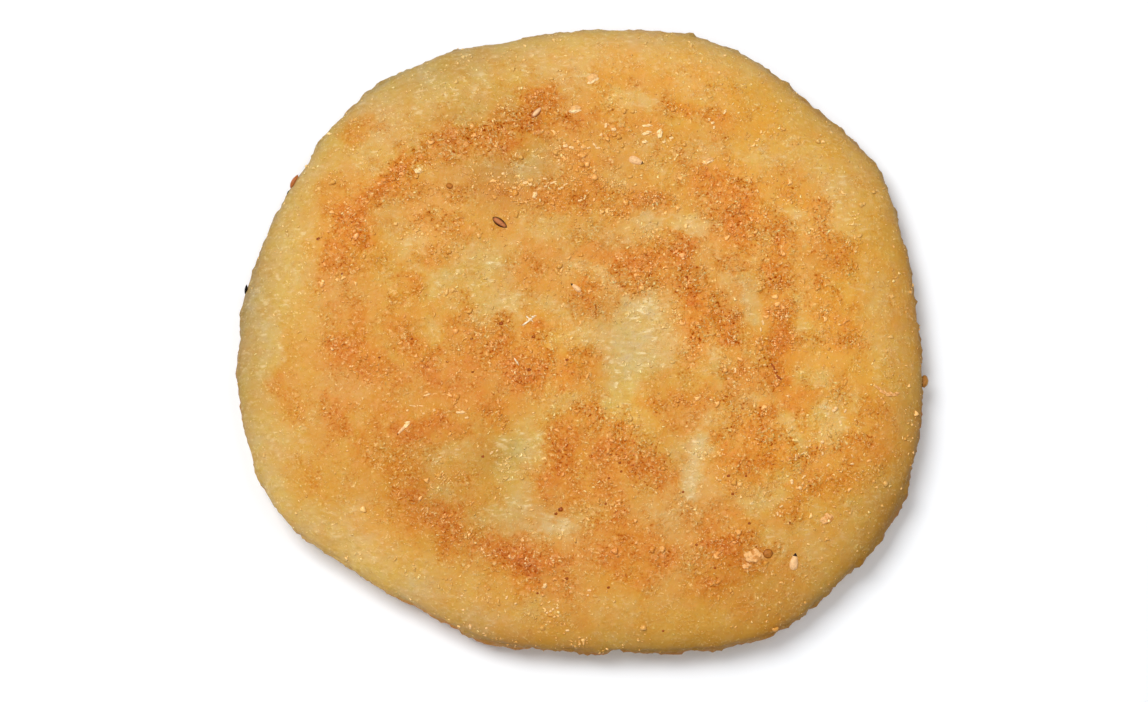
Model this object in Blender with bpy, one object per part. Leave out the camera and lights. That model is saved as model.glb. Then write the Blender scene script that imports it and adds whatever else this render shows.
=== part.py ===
"""A pan-fried sweet rice pancake: one flat round of sticky rice dough.

The face that lay on the pan is up. It is browned where it touched the metal and stays
pale in shallow hollows and round the rim, and a few sesame seeds are baked into it.

Sizes are in millimetres and degrees, and the mesh is written in metres. +X runs along
the widest way across, +Z is up, and the underside rests on z = 0.
"""

import math
from collections import namedtuple

import bmesh
import bpy
import numpy as np
from mathutils import Matrix, Vector, noise
from mathutils.bvhtree import BVHTree

MM = 0.001

# Seen from above: distance from the middle to the rim, every 15 degrees from +X.
RIM_RADII = (50.7, 50.8, 51.9, 50.3, 50.9, 49.6, 48.2, 47.8, 49.6, 50.6, 49.9, 50.8,
             52.0, 52.8, 53.1, 49.7, 48.0, 48.3, 48.0, 49.5, 52.8, 53.6, 54.1, 52.5)
MEAN_RADIUS = 50.5

# Seen from the side: the face lies flat and turns down to a rounded rim.
FACE_HEIGHT = 10.0
GIRTH_HEIGHT = 4.3      # height of the widest line round the rim
FOOT_DROP = 4.9         # the foot would reach this far below the girth, and is pressed flat
SHOULDER_POWER = 5.5    # how squarely the face turns down
FOOT_POWER = 12.0       # how squarely the rim turns under
TURN_POWER = 2.2        # how round the rim is
FLAT_FOOT = 0.62        # share of the foot's radius that is truly flat

# Unevenness: how far it stands out, and how long its waves are.
SWELL, SWELL_WAVE = 0.50, 26.0
LUMP, LUMP_WAVE = 0.22, 9.0
PIMPLE, PIMPLE_WAVE = 0.14, 3.6
SCALLOP, SCALLOP_WAVE = 0.45, 4.6
FOOT_DENT, FOOT_DENT_WAVE = 0.7, 11.0

# The marks on the face are placed from a point this far from the rim's middle.
FACE_SHIFT = (-0.1, -1.05)

# A soft oval on the face: its middle, its half-axes, its heading and its height.
Oval = namedtuple("Oval", "x y length width heading height")

RIDGES = (
    # The long browned arc along the upper left shoulder.
    Oval(-35.5, 15.0, 8.0, 3.5, 58, 0.23),
    Oval(-29.0, 24.0, 7.0, 3.0, 40, 0.20),
    Oval(-18.0, 30.5, 8.0, 3.0, 20, 0.23),
    Oval(-7.5, 35.5, 5.0, 3.5, 30, 0.30),
    # The crest right of the middle and the blocks beyond it.
    Oval(11.0, 12.0, 6.0, 3.5, 15, 0.23),
    Oval(17.0, 6.0, 5.0, 3.0, -50, 0.23),
    Oval(23.5, 18.5, 5.5, 4.0, -30, 0.23),
    Oval(29.0, 10.0, 5.5, 2.5, 80, 0.18),
    Oval(26.0, -15.5, 6.0, 4.0, -20, 0.20),
    # The islands left of the middle.
    Oval(-34.5, -2.0, 5.0, 3.5, 10, 0.18),
    Oval(-25.0, -5.5, 6.0, 4.0, -20, 0.15),
    Oval(-8.5, -5.0, 6.0, 3.5, 10, 0.23),
    # The dark heart below the middle, and the arc along the lower shoulder.
    Oval(6.0, -16.5, 8.0, 4.0, -30, 0.30),
    Oval(-24.0, -24.0, 8.0, 3.5, -48, 0.20),
    Oval(-11.0, -32.5, 9.0, 3.0, -15, 0.30),
    Oval(9.5, -32.5, 6.0, 3.0, -10, 0.20),
    Oval(21.0, -33.5, 5.5, 5.0, 30, 0.25),
)

HOLLOWS = (
    Oval(8.5, 0.5, 5.0, 8.0, 10, 0.75),
    Oval(6.5, -8.0, 3.5, 5.0, 15, 0.53),
    Oval(-15.5, 7.5, 7.0, 6.0, 20, 0.41),
    Oval(-26.0, 17.0, 4.0, 4.0, 0, 0.26),
    Oval(-9.0, 26.0, 8.0, 3.0, 12, 0.49),
    Oval(12.5, 18.0, 8.0, 2.4, -5, 0.34),
    Oval(25.5, 5.0, 2.2, 5.0, 10, 0.26),
    Oval(-9.5, -17.0, 5.0, 7.0, -15, 0.60),
    Oval(-20.0, -18.0, 5.0, 3.0, 10, 0.30),
    Oval(-4.5, -28.5, 5.5, 2.6, -25, 0.45),
    Oval(16.0, -18.0, 2.6, 7.0, 5, 0.49),
    Oval(28.5, -22.5, 6.0, 2.8, 30, 0.38),
    Oval(37.5, -13.0, 4.0, 4.0, 0, 0.30),
    Oval(-22.5, 0.5, 2.2, 2.2, 0, 0.26),
)

# Folds that run over the rim: direction, half-width and depth.
Fold = namedtuple("Fold", "angle width depth")
RIM_FOLDS = (
    Fold(24, 2.2, 0.50),
    Fold(63, 3.0, 0.40),
    Fold(119, 2.6, 0.45),
    Fold(148, 2.0, 0.60),
    Fold(213, 2.4, 0.45),
    Fold(262, 2.2, 0.50),
    Fold(276, 1.8, 0.70),
    Fold(311, 2.8, 0.45),
    Fold(339, 2.2, 0.50),
)

# The thin browned lip that peeps out under the rim: direction, half-width, height, reach.
LIP_ANGLE, LIP_WIDTH = 250, 9
LIP_HEIGHT, LIP_DEPTH, LIP_REACH = 1.8, 1.3, 1.1

# Seeds, flakes and crumbs baked into the face: middle, size and heading.
Grain = namedtuple("Grain", "x y length width thick heading")
FACE_GRAINS = (
    Grain(-12.4, 17.15, 2.9, 1.2, 0.9, -36),   # toasted seed in its hull
    Grain(-6.9, 34.4, 2.4, 1.0, 0.9, 48),      # tan seed on the arc
    Grain(8.2, 26.8, 2.5, 1.2, 0.9, -20),      # pale seeds
    Grain(31.1, -33.9, 2.9, 1.4, 1.1, 82),
    Grain(-26.3, -14.4, 3.1, 0.9, 0.7, 226),
    Grain(-0.9, 7.0, 1.9, 1.0, 0.7, 140),
    Grain(27.2, -32.8, 1.5, 1.4, 0.9, 0),      # browned nib
    Grain(25.2, -33.3, 1.9, 1.8, 0.8, 0),      # blisters beside it
    Grain(24.1, -34.7, 1.2, 1.1, 0.7, 0),
    Grain(36.1, -27.6, 1.9, 1.8, 0.8, 20),
    Grain(-20.0, 22.9, 1.1, 0.9, 0.6, -35),
    Grain(1.6, 39.9, 2.2, 1.4, 0.6, 35),       # loose flakes
    Grain(-1.1, 34.9, 2.0, 1.2, 0.6, 15),
    Grain(19.1, 26.8, 1.9, 0.8, 0.7, 26),
    Grain(11.8, 31.2, 1.4, 1.0, 0.7, 80),      # crumbs
    Grain(9.8, 31.2, 1.3, 0.7, 0.6, 15),
    Grain(-24.7, 25.2, 1.1, 1.1, 0.7, 0),
)

# Grains on the rim: direction, height, size, and slope of the long way.
RimGrain = namedtuple("RimGrain", "angle height length width thick slope")
RIM_GRAINS = (
    RimGrain(151.4, 5.6, 2.4, 1.2, 1.6, 12),   # tan seed
    RimGrain(153.3, 4.3, 1.7, 0.8, 1.0, -20),  # black seeds
    RimGrain(172.2, 4.2, 1.8, 0.8, 0.9, 35),
    RimGrain(352.1, 4.6, 1.9, 1.2, 1.5, 0),    # knob of dough
)
FACE_SINK = 0.12        # how far a grain's middle lies under the surface
RIM_SINK = 0.05

# Mesh: rows on each side of the starting cube, and where they are gathered.
GRID = 28
FACE_SHARE, RIM_SHARE, FOOT_SHARE = 1.5, 1.25, 0.5
GRAIN_SIDES, GRAIN_RINGS = 6, 4

CRUST_COLOR = (0.72, 0.37, 0.10, 1.0)
CRUST_ROUGHNESS = 0.45


def clear_scene():
    """Remove whatever the file opened with."""
    for item in list(bpy.context.scene.objects):
        bpy.data.objects.remove(item, do_unlink=True)


def new_collection(name):
    """Make a collection and link it to the scene."""
    collection = bpy.data.collections.new(name)
    bpy.context.scene.collection.children.link(collection)
    return collection


def ease(low, high, value):
    """Go smoothly from 0 at low to 1 at high."""
    share = np.clip((value - low) / (high - low), 0.0, 1.0)
    return share * share * (3.0 - 2.0 * share)


def waves(points, length, seed):
    """Smooth noise of about -1 to 1 at each point, with waves of the given length."""
    shift = Vector((seed * 17.3, seed * -5.9, seed * 9.1))
    return np.array([noise.noise(Vector(point) / length + shift) for point in points])


def turn_between(angle, direction):
    """Degrees from a direction to each angle, between -180 and 180."""
    return (np.degrees(angle) - direction + 180.0) % 360.0 - 180.0


def rim_radius(angle):
    """Distance from the middle to the rim, on a smooth closed curve through RIM_RADII."""
    radii = np.array(RIM_RADII)
    count = len(radii)
    place = np.mod(angle / (2.0 * math.pi), 1.0) * count
    index = np.floor(place).astype(int)
    t = place - index
    before, start, end, after = (radii[(index + step) % count] for step in (-1, 0, 1, 2))
    leave, arrive = (end - before) / 2.0, (after - start) / 2.0
    swing = t * t * (3.0 - 2.0 * t)
    return (start + (end - start) * swing + leave * t * (1.0 - t) ** 2
            - arrive * t * t * (1.0 - t))


def side_profile():
    """Half of the cross-section, from the face's middle over the rim to the foot's."""
    out = 1.0 - np.geomspace(1.0, 1e-7, 700)
    top = (1.0 - out ** SHOULDER_POWER) ** (1.0 / TURN_POWER)
    foot = (1.0 - out ** FOOT_POWER) ** (1.0 / TURN_POWER)
    reach = np.concatenate([out, out[::-1]])
    top_height = GIRTH_HEIGHT + (FACE_HEIGHT - GIRTH_HEIGHT) * top
    foot_height = np.maximum(GIRTH_HEIGHT - FOOT_DROP * foot, 0.0)
    return reach, np.concatenate([top_height, foot_height[::-1]])


def spread(share):
    """Straighten a share of area into a share of distance, from both middles."""
    near_face = np.sqrt(np.clip(share, 0.0, 0.5) / 2.0)
    near_foot = 1.0 - np.sqrt(np.clip(1.0 - share, 0.0, 0.5) / 2.0)
    return np.where(share < 0.5, near_face, near_foot)


def lay_on_profile(cosine):
    """Reach, height and outward normal of the cross-section for each polar cosine."""
    reach, height = side_profile()
    run, rise = np.diff(reach) * MEAN_RADIUS, np.diff(height)
    step = np.hypot(run, rise)
    slope = np.abs(rise) / np.maximum(step, 1e-12)
    half = len(step) // 2
    share = np.where(np.arange(len(step)) < half, FACE_SHARE, FOOT_SHARE)
    share = share + (RIM_SHARE - share) * ease(0.3, 0.9, slope)
    area = step * (reach[1:] + reach[:-1]) * share
    area = np.concatenate([[0.0], np.cumsum(area)])
    place = spread(area / area[-1])
    want = spread((1.0 - cosine) / 2.0)
    tangent_out, tangent_up = np.gradient(reach * MEAN_RADIUS), np.gradient(height)
    size = np.maximum(np.hypot(tangent_out, tangent_up), 1e-12)
    normal_out = np.interp(want, place, -tangent_up / size)
    normal_up = np.interp(want, place, tangent_out / size)
    size = np.hypot(normal_out, normal_up)
    return (np.interp(want, place, reach), np.interp(want, place, height),
            normal_out / size, normal_up / size)


def ovals_at(x, y, ovals):
    """Height of a set of soft ovals at each point of the face."""
    total = np.zeros_like(x)
    for oval in ovals:
        heading = math.radians(oval.heading)
        along = (x - oval.x) * math.cos(heading) + (y - oval.y) * math.sin(heading)
        across = (y - oval.y) * math.cos(heading) - (x - oval.x) * math.sin(heading)
        total += oval.height * np.exp(-(along / oval.length) ** 2 - (across / oval.width) ** 2)
    return total


def face_relief(points):
    """How far the face stands out: swells, browned ridges, pale hollows and pimples."""
    x, y = points[:, 0] - FACE_SHIFT[0], points[:, 1] - FACE_SHIFT[1]
    return (SWELL * waves(points, SWELL_WAVE, 1)
            + ovals_at(x, y, RIDGES) - ovals_at(x, y, HOLLOWS)
            + LUMP * waves(points, LUMP_WAVE, 2)
            + PIMPLE * waves(points, PIMPLE_WAVE, 3))


def rim_relief(points, angle, height):
    """How far the rim stands out: lumps, scallops, folds and the browned lip."""
    total = LUMP * waves(points, LUMP_WAVE, 2) + SCALLOP * waves(points, SCALLOP_WAVE, 4)
    for fold in RIM_FOLDS:
        total -= fold.depth * np.exp(-(turn_between(angle, fold.angle) / fold.width) ** 2)
    lip = np.exp(-(turn_between(angle, LIP_ANGLE) / LIP_WIDTH) ** 2)
    total += LIP_REACH * lip * np.exp(-((height - LIP_HEIGHT) / LIP_DEPTH) ** 2)
    return total


def shape_dough(directions):
    """Carry points of a unit sphere to the surface of the pancake, in millimetres."""
    angle = np.arctan2(directions[:, 1], directions[:, 0])
    reach, height, normal_out, normal_up = lay_on_profile(directions[:, 2])
    radius = rim_radius(angle) * reach
    points = np.stack([radius * np.cos(angle), radius * np.sin(angle), height], axis=1)
    normals = np.stack([normal_out * np.cos(angle), normal_out * np.sin(angle), normal_up], axis=1)
    on_face = ease(0.15, 0.75, normal_up)
    on_foot = ease(0.5, 0.95, -normal_up)
    relief = face_relief(points) * on_face
    relief += rim_relief(points, angle, height) * (1.0 - on_face) * (1.0 - on_foot)
    dent = np.maximum(waves(points, FOOT_DENT_WAVE, 5), 0.0)
    relief -= FOOT_DENT * dent * ease(FLAT_FOOT, 0.9, reach) * on_foot
    points += normals * relief[:, None]
    points[:, 2] = np.maximum(points[:, 2], 0.0)
    return points


def cube_sphere(rows):
    """A cube of even squares, swollen to a unit sphere."""
    ball = bmesh.new()
    bmesh.ops.create_cube(ball, size=2.0)
    bmesh.ops.subdivide_edges(ball, edges=ball.edges[:], cuts=rows - 1, use_grid_fill=True)
    for vertex in ball.verts:
        vertex.co = Vector([math.tan(value * math.pi / 4.0) for value in vertex.co]).normalized()
    return ball


def crust_material():
    """Fried dough: golden and a little oily."""
    material = bpy.data.materials.new("crust")
    material.use_nodes = True
    shader = material.node_tree.nodes["Principled BSDF"]
    shader.inputs["Base Color"].default_value = CRUST_COLOR
    shader.inputs["Roughness"].default_value = CRUST_ROUGHNESS
    shader.inputs["Metallic"].default_value = 0.0
    return material


def make_dough(collection, material):
    """The pancake itself, centred over the origin."""
    ball = cube_sphere(GRID)
    directions = np.array([vertex.co for vertex in ball.verts])
    points = shape_dough(directions)
    middle = (points.max(axis=0) + points.min(axis=0)) / 2.0
    points[:, :2] -= middle[:2]
    for vertex, point in zip(ball.verts, points):
        vertex.co = Vector(point) * MM
    mesh = bpy.data.meshes.new("pancake")
    ball.to_mesh(mesh)
    ball.free()
    mesh.materials.append(material)
    dough = bpy.data.objects.new("pancake", mesh)
    collection.objects.link(dough)
    return dough, middle


def frame_from(normal, heading):
    """A rotation with Z along the normal and X as near the heading as it can lie."""
    across = normal.cross(heading).normalized()
    along = across.cross(normal).normalized()
    return Matrix((along, across, normal)).transposed()


def add_grain(collection, material, place, normal, heading, grain, sink):
    """One seed, flake or crumb: a flattened egg with its long way along the heading."""
    seed = bmesh.new()
    bmesh.ops.create_uvsphere(seed, u_segments=GRAIN_SIDES, v_segments=GRAIN_RINGS, radius=0.5)
    turn = frame_from(normal, heading)
    for vertex in seed.verts:
        side, up, along = vertex.co
        egg = Vector((along * grain.length, side * grain.width * (1.0 - 0.6 * along),
                      up * grain.thick)) * MM
        vertex.co = place + turn @ egg - normal * sink * MM
    bmesh.ops.recalc_face_normals(seed, faces=seed.faces[:])
    mesh = bpy.data.meshes.new("grain")
    seed.to_mesh(mesh)
    seed.free()
    mesh.materials.append(material)
    collection.objects.link(bpy.data.objects.new("grain", mesh))


def surface_tree(dough):
    """A search tree of the dough's surface."""
    surface = bmesh.new()
    surface.from_mesh(dough.data)
    tree = BVHTree.FromBMesh(surface)
    surface.free()
    return tree


def scatter_face_grains(collection, material, tree, middle):
    """Set each grain of the face down where the surface is."""
    for grain in FACE_GRAINS:
        x, y = grain.x + FACE_SHIFT[0] - middle[0], grain.y + FACE_SHIFT[1] - middle[1]
        above = Vector((x, y, 3.0 * FACE_HEIGHT)) * MM
        place, normal, _, _ = tree.ray_cast(above, Vector((0.0, 0.0, -1.0)))
        turn = math.radians(grain.heading)
        heading = Vector((math.cos(turn), math.sin(turn), 0.0))
        add_grain(collection, material, place, normal, heading, grain, FACE_SINK)


def scatter_rim_grains(collection, material, tree):
    """Press each grain of the rim in from outside."""
    for grain in RIM_GRAINS:
        turn, slope = math.radians(grain.angle), math.radians(grain.slope)
        outward = Vector((math.cos(turn), math.sin(turn), 0.0))
        start = outward * 2.0 * MEAN_RADIUS * MM + Vector((0.0, 0.0, grain.height * MM))
        place, _, _, _ = tree.ray_cast(start, -outward)
        sideways = Vector((-outward.y, outward.x, 0.0))
        heading = sideways * -math.cos(slope) + Vector((0.0, 0.0, math.sin(slope)))
        add_grain(collection, material, place, outward, heading, grain, RIM_SINK)


def fuse(dough, grains):
    """Join the grains to the dough as one closed body, and drop the loose grains."""
    union = dough.modifiers.new("grains", "BOOLEAN")
    union.operation = "UNION"
    union.operand_type = "COLLECTION"
    union.collection = grains
    union.solver = "EXACT"
    bpy.context.view_layer.update()
    evaluated = dough.evaluated_get(bpy.context.evaluated_depsgraph_get())
    fused = bpy.data.meshes.new_from_object(evaluated)
    dough.modifiers.clear()
    fused.name = "pancake"
    dough.data = fused
    for grain in list(grains.objects):
        bpy.data.objects.remove(grain, do_unlink=True)
    bpy.data.collections.remove(grains)


def build():
    """Make the pancake."""
    clear_scene()
    pancake = new_collection("sweet_rice_pancake")
    grains = new_collection("grains")
    material = crust_material()
    dough, middle = make_dough(pancake, material)
    tree = surface_tree(dough)
    scatter_face_grains(grains, material, tree, middle)
    scatter_rim_grains(grains, material, tree)
    fuse(dough, grains)
    dough.data.shade_smooth()


build()
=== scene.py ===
"""Looks of a pan-fried sweet rice pancake: browned rice dough, oil and sesame seeds.

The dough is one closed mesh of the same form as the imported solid, with the crust's fine
relief on it. Lengths are in millimetres until a mesh is written in metres. Angles are in
degrees, anticlockwise from +X. Places on the face are given from the middle of its marks.
"""

import math
from collections import namedtuple
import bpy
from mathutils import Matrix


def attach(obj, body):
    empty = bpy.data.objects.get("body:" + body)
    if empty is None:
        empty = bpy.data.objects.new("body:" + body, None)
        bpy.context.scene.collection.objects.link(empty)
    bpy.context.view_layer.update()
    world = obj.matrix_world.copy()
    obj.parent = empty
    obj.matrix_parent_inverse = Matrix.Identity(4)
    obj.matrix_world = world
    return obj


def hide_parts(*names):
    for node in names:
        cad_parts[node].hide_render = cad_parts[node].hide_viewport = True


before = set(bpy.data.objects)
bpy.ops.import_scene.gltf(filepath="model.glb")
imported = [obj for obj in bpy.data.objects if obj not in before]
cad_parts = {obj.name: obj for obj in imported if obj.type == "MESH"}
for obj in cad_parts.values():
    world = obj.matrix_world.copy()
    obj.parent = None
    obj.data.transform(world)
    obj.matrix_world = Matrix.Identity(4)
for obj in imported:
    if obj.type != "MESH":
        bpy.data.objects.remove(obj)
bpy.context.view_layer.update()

from types import SimpleNamespace

import bmesh
import bpy
import numpy as np
from mathutils import Matrix, Vector, noise
from mathutils.bvhtree import BVHTree

MM = 0.001
BODY, NODE, SLOT = "root", "pancake", "crust"


def srgb(red, green, blue):
    """A colour as it shows on screen, 0 to 255, in the linear values that shaders take."""
    def linear(value):
        share = value / 255.0
        return share / 12.92 if share <= 0.04045 else ((share + 0.055) / 1.055) ** 2.4
    return (linear(red), linear(green), linear(blue), 1.0)


# ---------------------------------------------------------------- camera and light

CAMERA_ELEVATION = 78.0
CAMERA_DISTANCE = 408.8
CAMERA_TARGET = (-0.84, -2.505, 4.5)
CAMERA_LENS, CAMERA_SENSOR = 85.0, 36.0
CLIP_NEAR, CLIP_FAR = 10.0, 10000.0

# Square soft boxes that face the pancake: name, place, size and power in watts.
LIGHTS = (
    ("key", (-360.0, 300.0, 880.0), 520.0, 8.12),
    ("fill_front", (-120.0, -460.0, 880.0), 500.0, 2.0),
    ("fill_side", (460.0, 140.0, 880.0), 500.0, 1.8),
)
SURROUND_COLOR, SURROUND_STRENGTH = (1.0, 1.0, 1.0, 1.0), 0.2
FLOOR_COLOR, FLOOR_REACH = (0.905, 0.925, 0.95, 1.0), 1500.0

# ---------------------------------------------------------------- form, as in the solid

# Distance from the middle to the rim, every 15 degrees from +X.
RIM_RADII = (50.7, 50.8, 51.9, 50.3, 50.9, 49.6, 48.2, 47.8, 49.6, 50.6, 49.9, 50.8,
             52.0, 52.8, 53.1, 49.7, 48.0, 48.3, 48.0, 49.5, 52.8, 53.6, 54.1, 52.5)
MEAN_RADIUS = 50.5
FACE_HEIGHT, GIRTH_HEIGHT, FOOT_DROP = 10.0, 4.3, 4.9
SHOULDER_POWER, FOOT_POWER, TURN_POWER = 5.5, 12.0, 2.2
FLAT_FOOT = 0.62
PROFILE_STEPS, PROFILE_END = 700, 1e-7

# Rows of squares along a side of the cube that the mesh starts from, and how closely
# its points lie on the face, the rim and the foot.
SOLID_GRID, SOLID_SHARES = 28, (1.5, 1.25, 0.5)
DOUGH_GRID, DOUGH_SHARES = 128, (3.0, 2.0, 0.6)

SWELL, SWELL_WAVE = 0.50, 26.0
LUMP, LUMP_WAVE = 0.22, 9.0
PIMPLE, PIMPLE_WAVE = 0.14, 3.6
SCALLOP, SCALLOP_WAVE = 0.45, 4.6
FOOT_DENT, FOOT_DENT_WAVE = 0.7, 11.0

# From the rim's middle to the middle of the face's marks.
FACE_SHIFT = (-0.1, -1.05)

# Soft ovals, here and below: x, y, length, width, heading and height.
RIDGES = (
    (-35.5, 15, 8, 3.5, 58, 0.23), (-29, 24, 7, 3, 40, 0.2), (-18, 30.5, 8, 3, 20, 0.23),
    (-7.5, 35.5, 5, 3.5, 30, 0.3), (11, 12, 6, 3.5, 15, 0.23), (17, 6, 5, 3, -50, 0.23),
    (23.5, 18.5, 5.5, 4, -30, 0.23), (29, 10, 5.5, 2.5, 80, 0.18), (26, -15.5, 6, 4, -20, 0.2),
    (-34.5, -2, 5, 3.5, 10, 0.18), (-25, -5.5, 6, 4, -20, 0.15), (-8.5, -5, 6, 3.5, 10, 0.23),
    (6, -16.5, 8, 4, -30, 0.3), (-24, -24, 8, 3.5, -48, 0.2), (-11, -32.5, 9, 3, -15, 0.3),
    (9.5, -32.5, 6, 3, -10, 0.2), (21, -33.5, 5.5, 5, 30, 0.25),
)
HOLLOWS = (
    (8.5, 0.5, 5, 8, 10, 0.75), (6.5, -8, 3.5, 5, 15, 0.53), (-15.5, 7.5, 7, 6, 20, 0.41),
    (-26, 17, 4, 4, 0, 0.26), (-9, 26, 8, 3, 12, 0.49), (12.5, 18, 8, 2.4, -5, 0.34),
    (25.5, 5, 2.2, 5, 10, 0.26), (-9.5, -17, 5, 7, -15, 0.6), (-20, -18, 5, 3, 10, 0.3),
    (-4.5, -28.5, 5.5, 2.6, -25, 0.45), (16, -18, 2.6, 7, 5, 0.49), (28.5, -22.5, 6, 2.8, 30, 0.38),
    (37.5, -13, 4, 4, 0, 0.3), (-22.5, 0.5, 2.2, 2.2, 0, 0.26),
)

# Folds of the rim: direction, width in degrees and depth.
RIM_FOLDS = (
    (24, 2.2, 0.5), (63, 3, 0.4), (119, 2.6, 0.45), (148, 2, 0.6), (213, 2.4, 0.45), (262, 2.2, 0.5),
    (276, 1.8, 0.7), (311, 2.8, 0.45), (339, 2.2, 0.5),
)
LIP_ANGLE, LIP_WIDTH = 250, 9
LIP_HEIGHT, LIP_DEPTH, LIP_REACH = 1.8, 1.3, 1.1

# ---------------------------------------------------------------- relief of the crust

# Fine relief: height and wave, first where the crust is browned, then where it is pale.
CRUST_BUMP, PALE_BUMP, CRUST_WAVE = 0.14, 0.05, 1.5
RIM_BUMP, RIM_WAVE = 0.20, 1.9
# Knobs of the rim: their mean height, how much higher they are on its darkest side, and wave.
RIM_KNOB, RIM_KNOB_SWING, RIM_KNOB_WAVE = 0.64, 0.14, 1.2

# Rings left by burst bubbles where the crust is browned more than this.
RING_COUNT, RING_SEED, RING_BROWNED = 90, 5, 0.35
RING_RADIUS = (0.6, 1.3)
RING_WALL, RING_HEIGHT = 0.26, 0.10

# Bubbles and crumbs of the fried surface, scattered by a seeded draw. The power is how
# much rarer the long ones are, the stretch is their length over their width, the
# thinnest is their least width, and the light is added to the crust's own colour.
# The added light makes them paler, partly as painted glints.
Scatter = namedtuple("Scatter", "name count seed cuts length power stretch thinnest light")
SCATTERS = (
    Scatter("bubbles", 1300, 7, 2, (0.32, 1.05), 3.5, (1.0, 2.4), 0.26, (0.34, 0.26, 0.14, 1.0)),
    Scatter("beads", 7600, 8, 1, (0.16, 0.64), 2.2, (1.4, 3.6), 0.13, (0.56, 0.44, 0.25, 1.0)),
)
BUBBLE_FLATNESS, BUBBLE_BEND, BUBBLE_LUMP, BUBBLE_LIFT = 0.8, 0.5, 0.6, 0.04
# How likely one is: anywhere, more where the crust is browned, and on the rim.
BUBBLE_BASE, BUBBLE_BROWNED, BUBBLE_RIM = 0.2, 1.2, 0.07
BUBBLE_CROWDING, BUBBLE_GRIT_POWER = 2.4, 1.5

# Soft ovals where they crowd most.
CROWDS = (
    (-2, 28.5, 3.5, 1.5, 10, 3), (-13, 22.5, 3, 1.5, 5, 3.5), (-7, 21.5, 3.5, 2, -10, 3.5),
    (3, 27, 5, 3, 0, 2), (6, 21, 4, 2.5, -20, 2), (-24.5, 24, 2, 1.5, 0, 1.5), (-24.5, 16, 3, 2.5, 0, 1),
    (29.5, 0.5, 1.5, 2.5, 10, 4), (10.2, 2.2, 1.5, 1.5, 0, 2.5), (-19, -21.5, 2.5, 1, 20, 3),
    (-12, -20.6, 2, 1.5, 40, 3), (-9.3, -19, 1.5, 1.5, 0, 3), (-5.5, -42.5, 3, 1.5, 0, 2),
    (20.5, -20.5, 2, 2, 0, 3), (31, -22, 2.5, 1.5, 20, 3), (-22.5, -11.5, 2.5, 1.5, -20, 2.5),
    (-21.2, -23.2, 1.5, 1.5, 0, 2.5), (12, 4.5, 3, 1.5, -40, 2), (25, 12, 3, 3, 0, 1.5),
    (-32, -5, 5, 2.5, -20, 1.5), (-16, -44, 4, 1.5, -25, 4), (-3, -46.5, 8, 1.5, 0, 2.5),
)

# ---------------------------------------------------------------- browning

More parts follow.
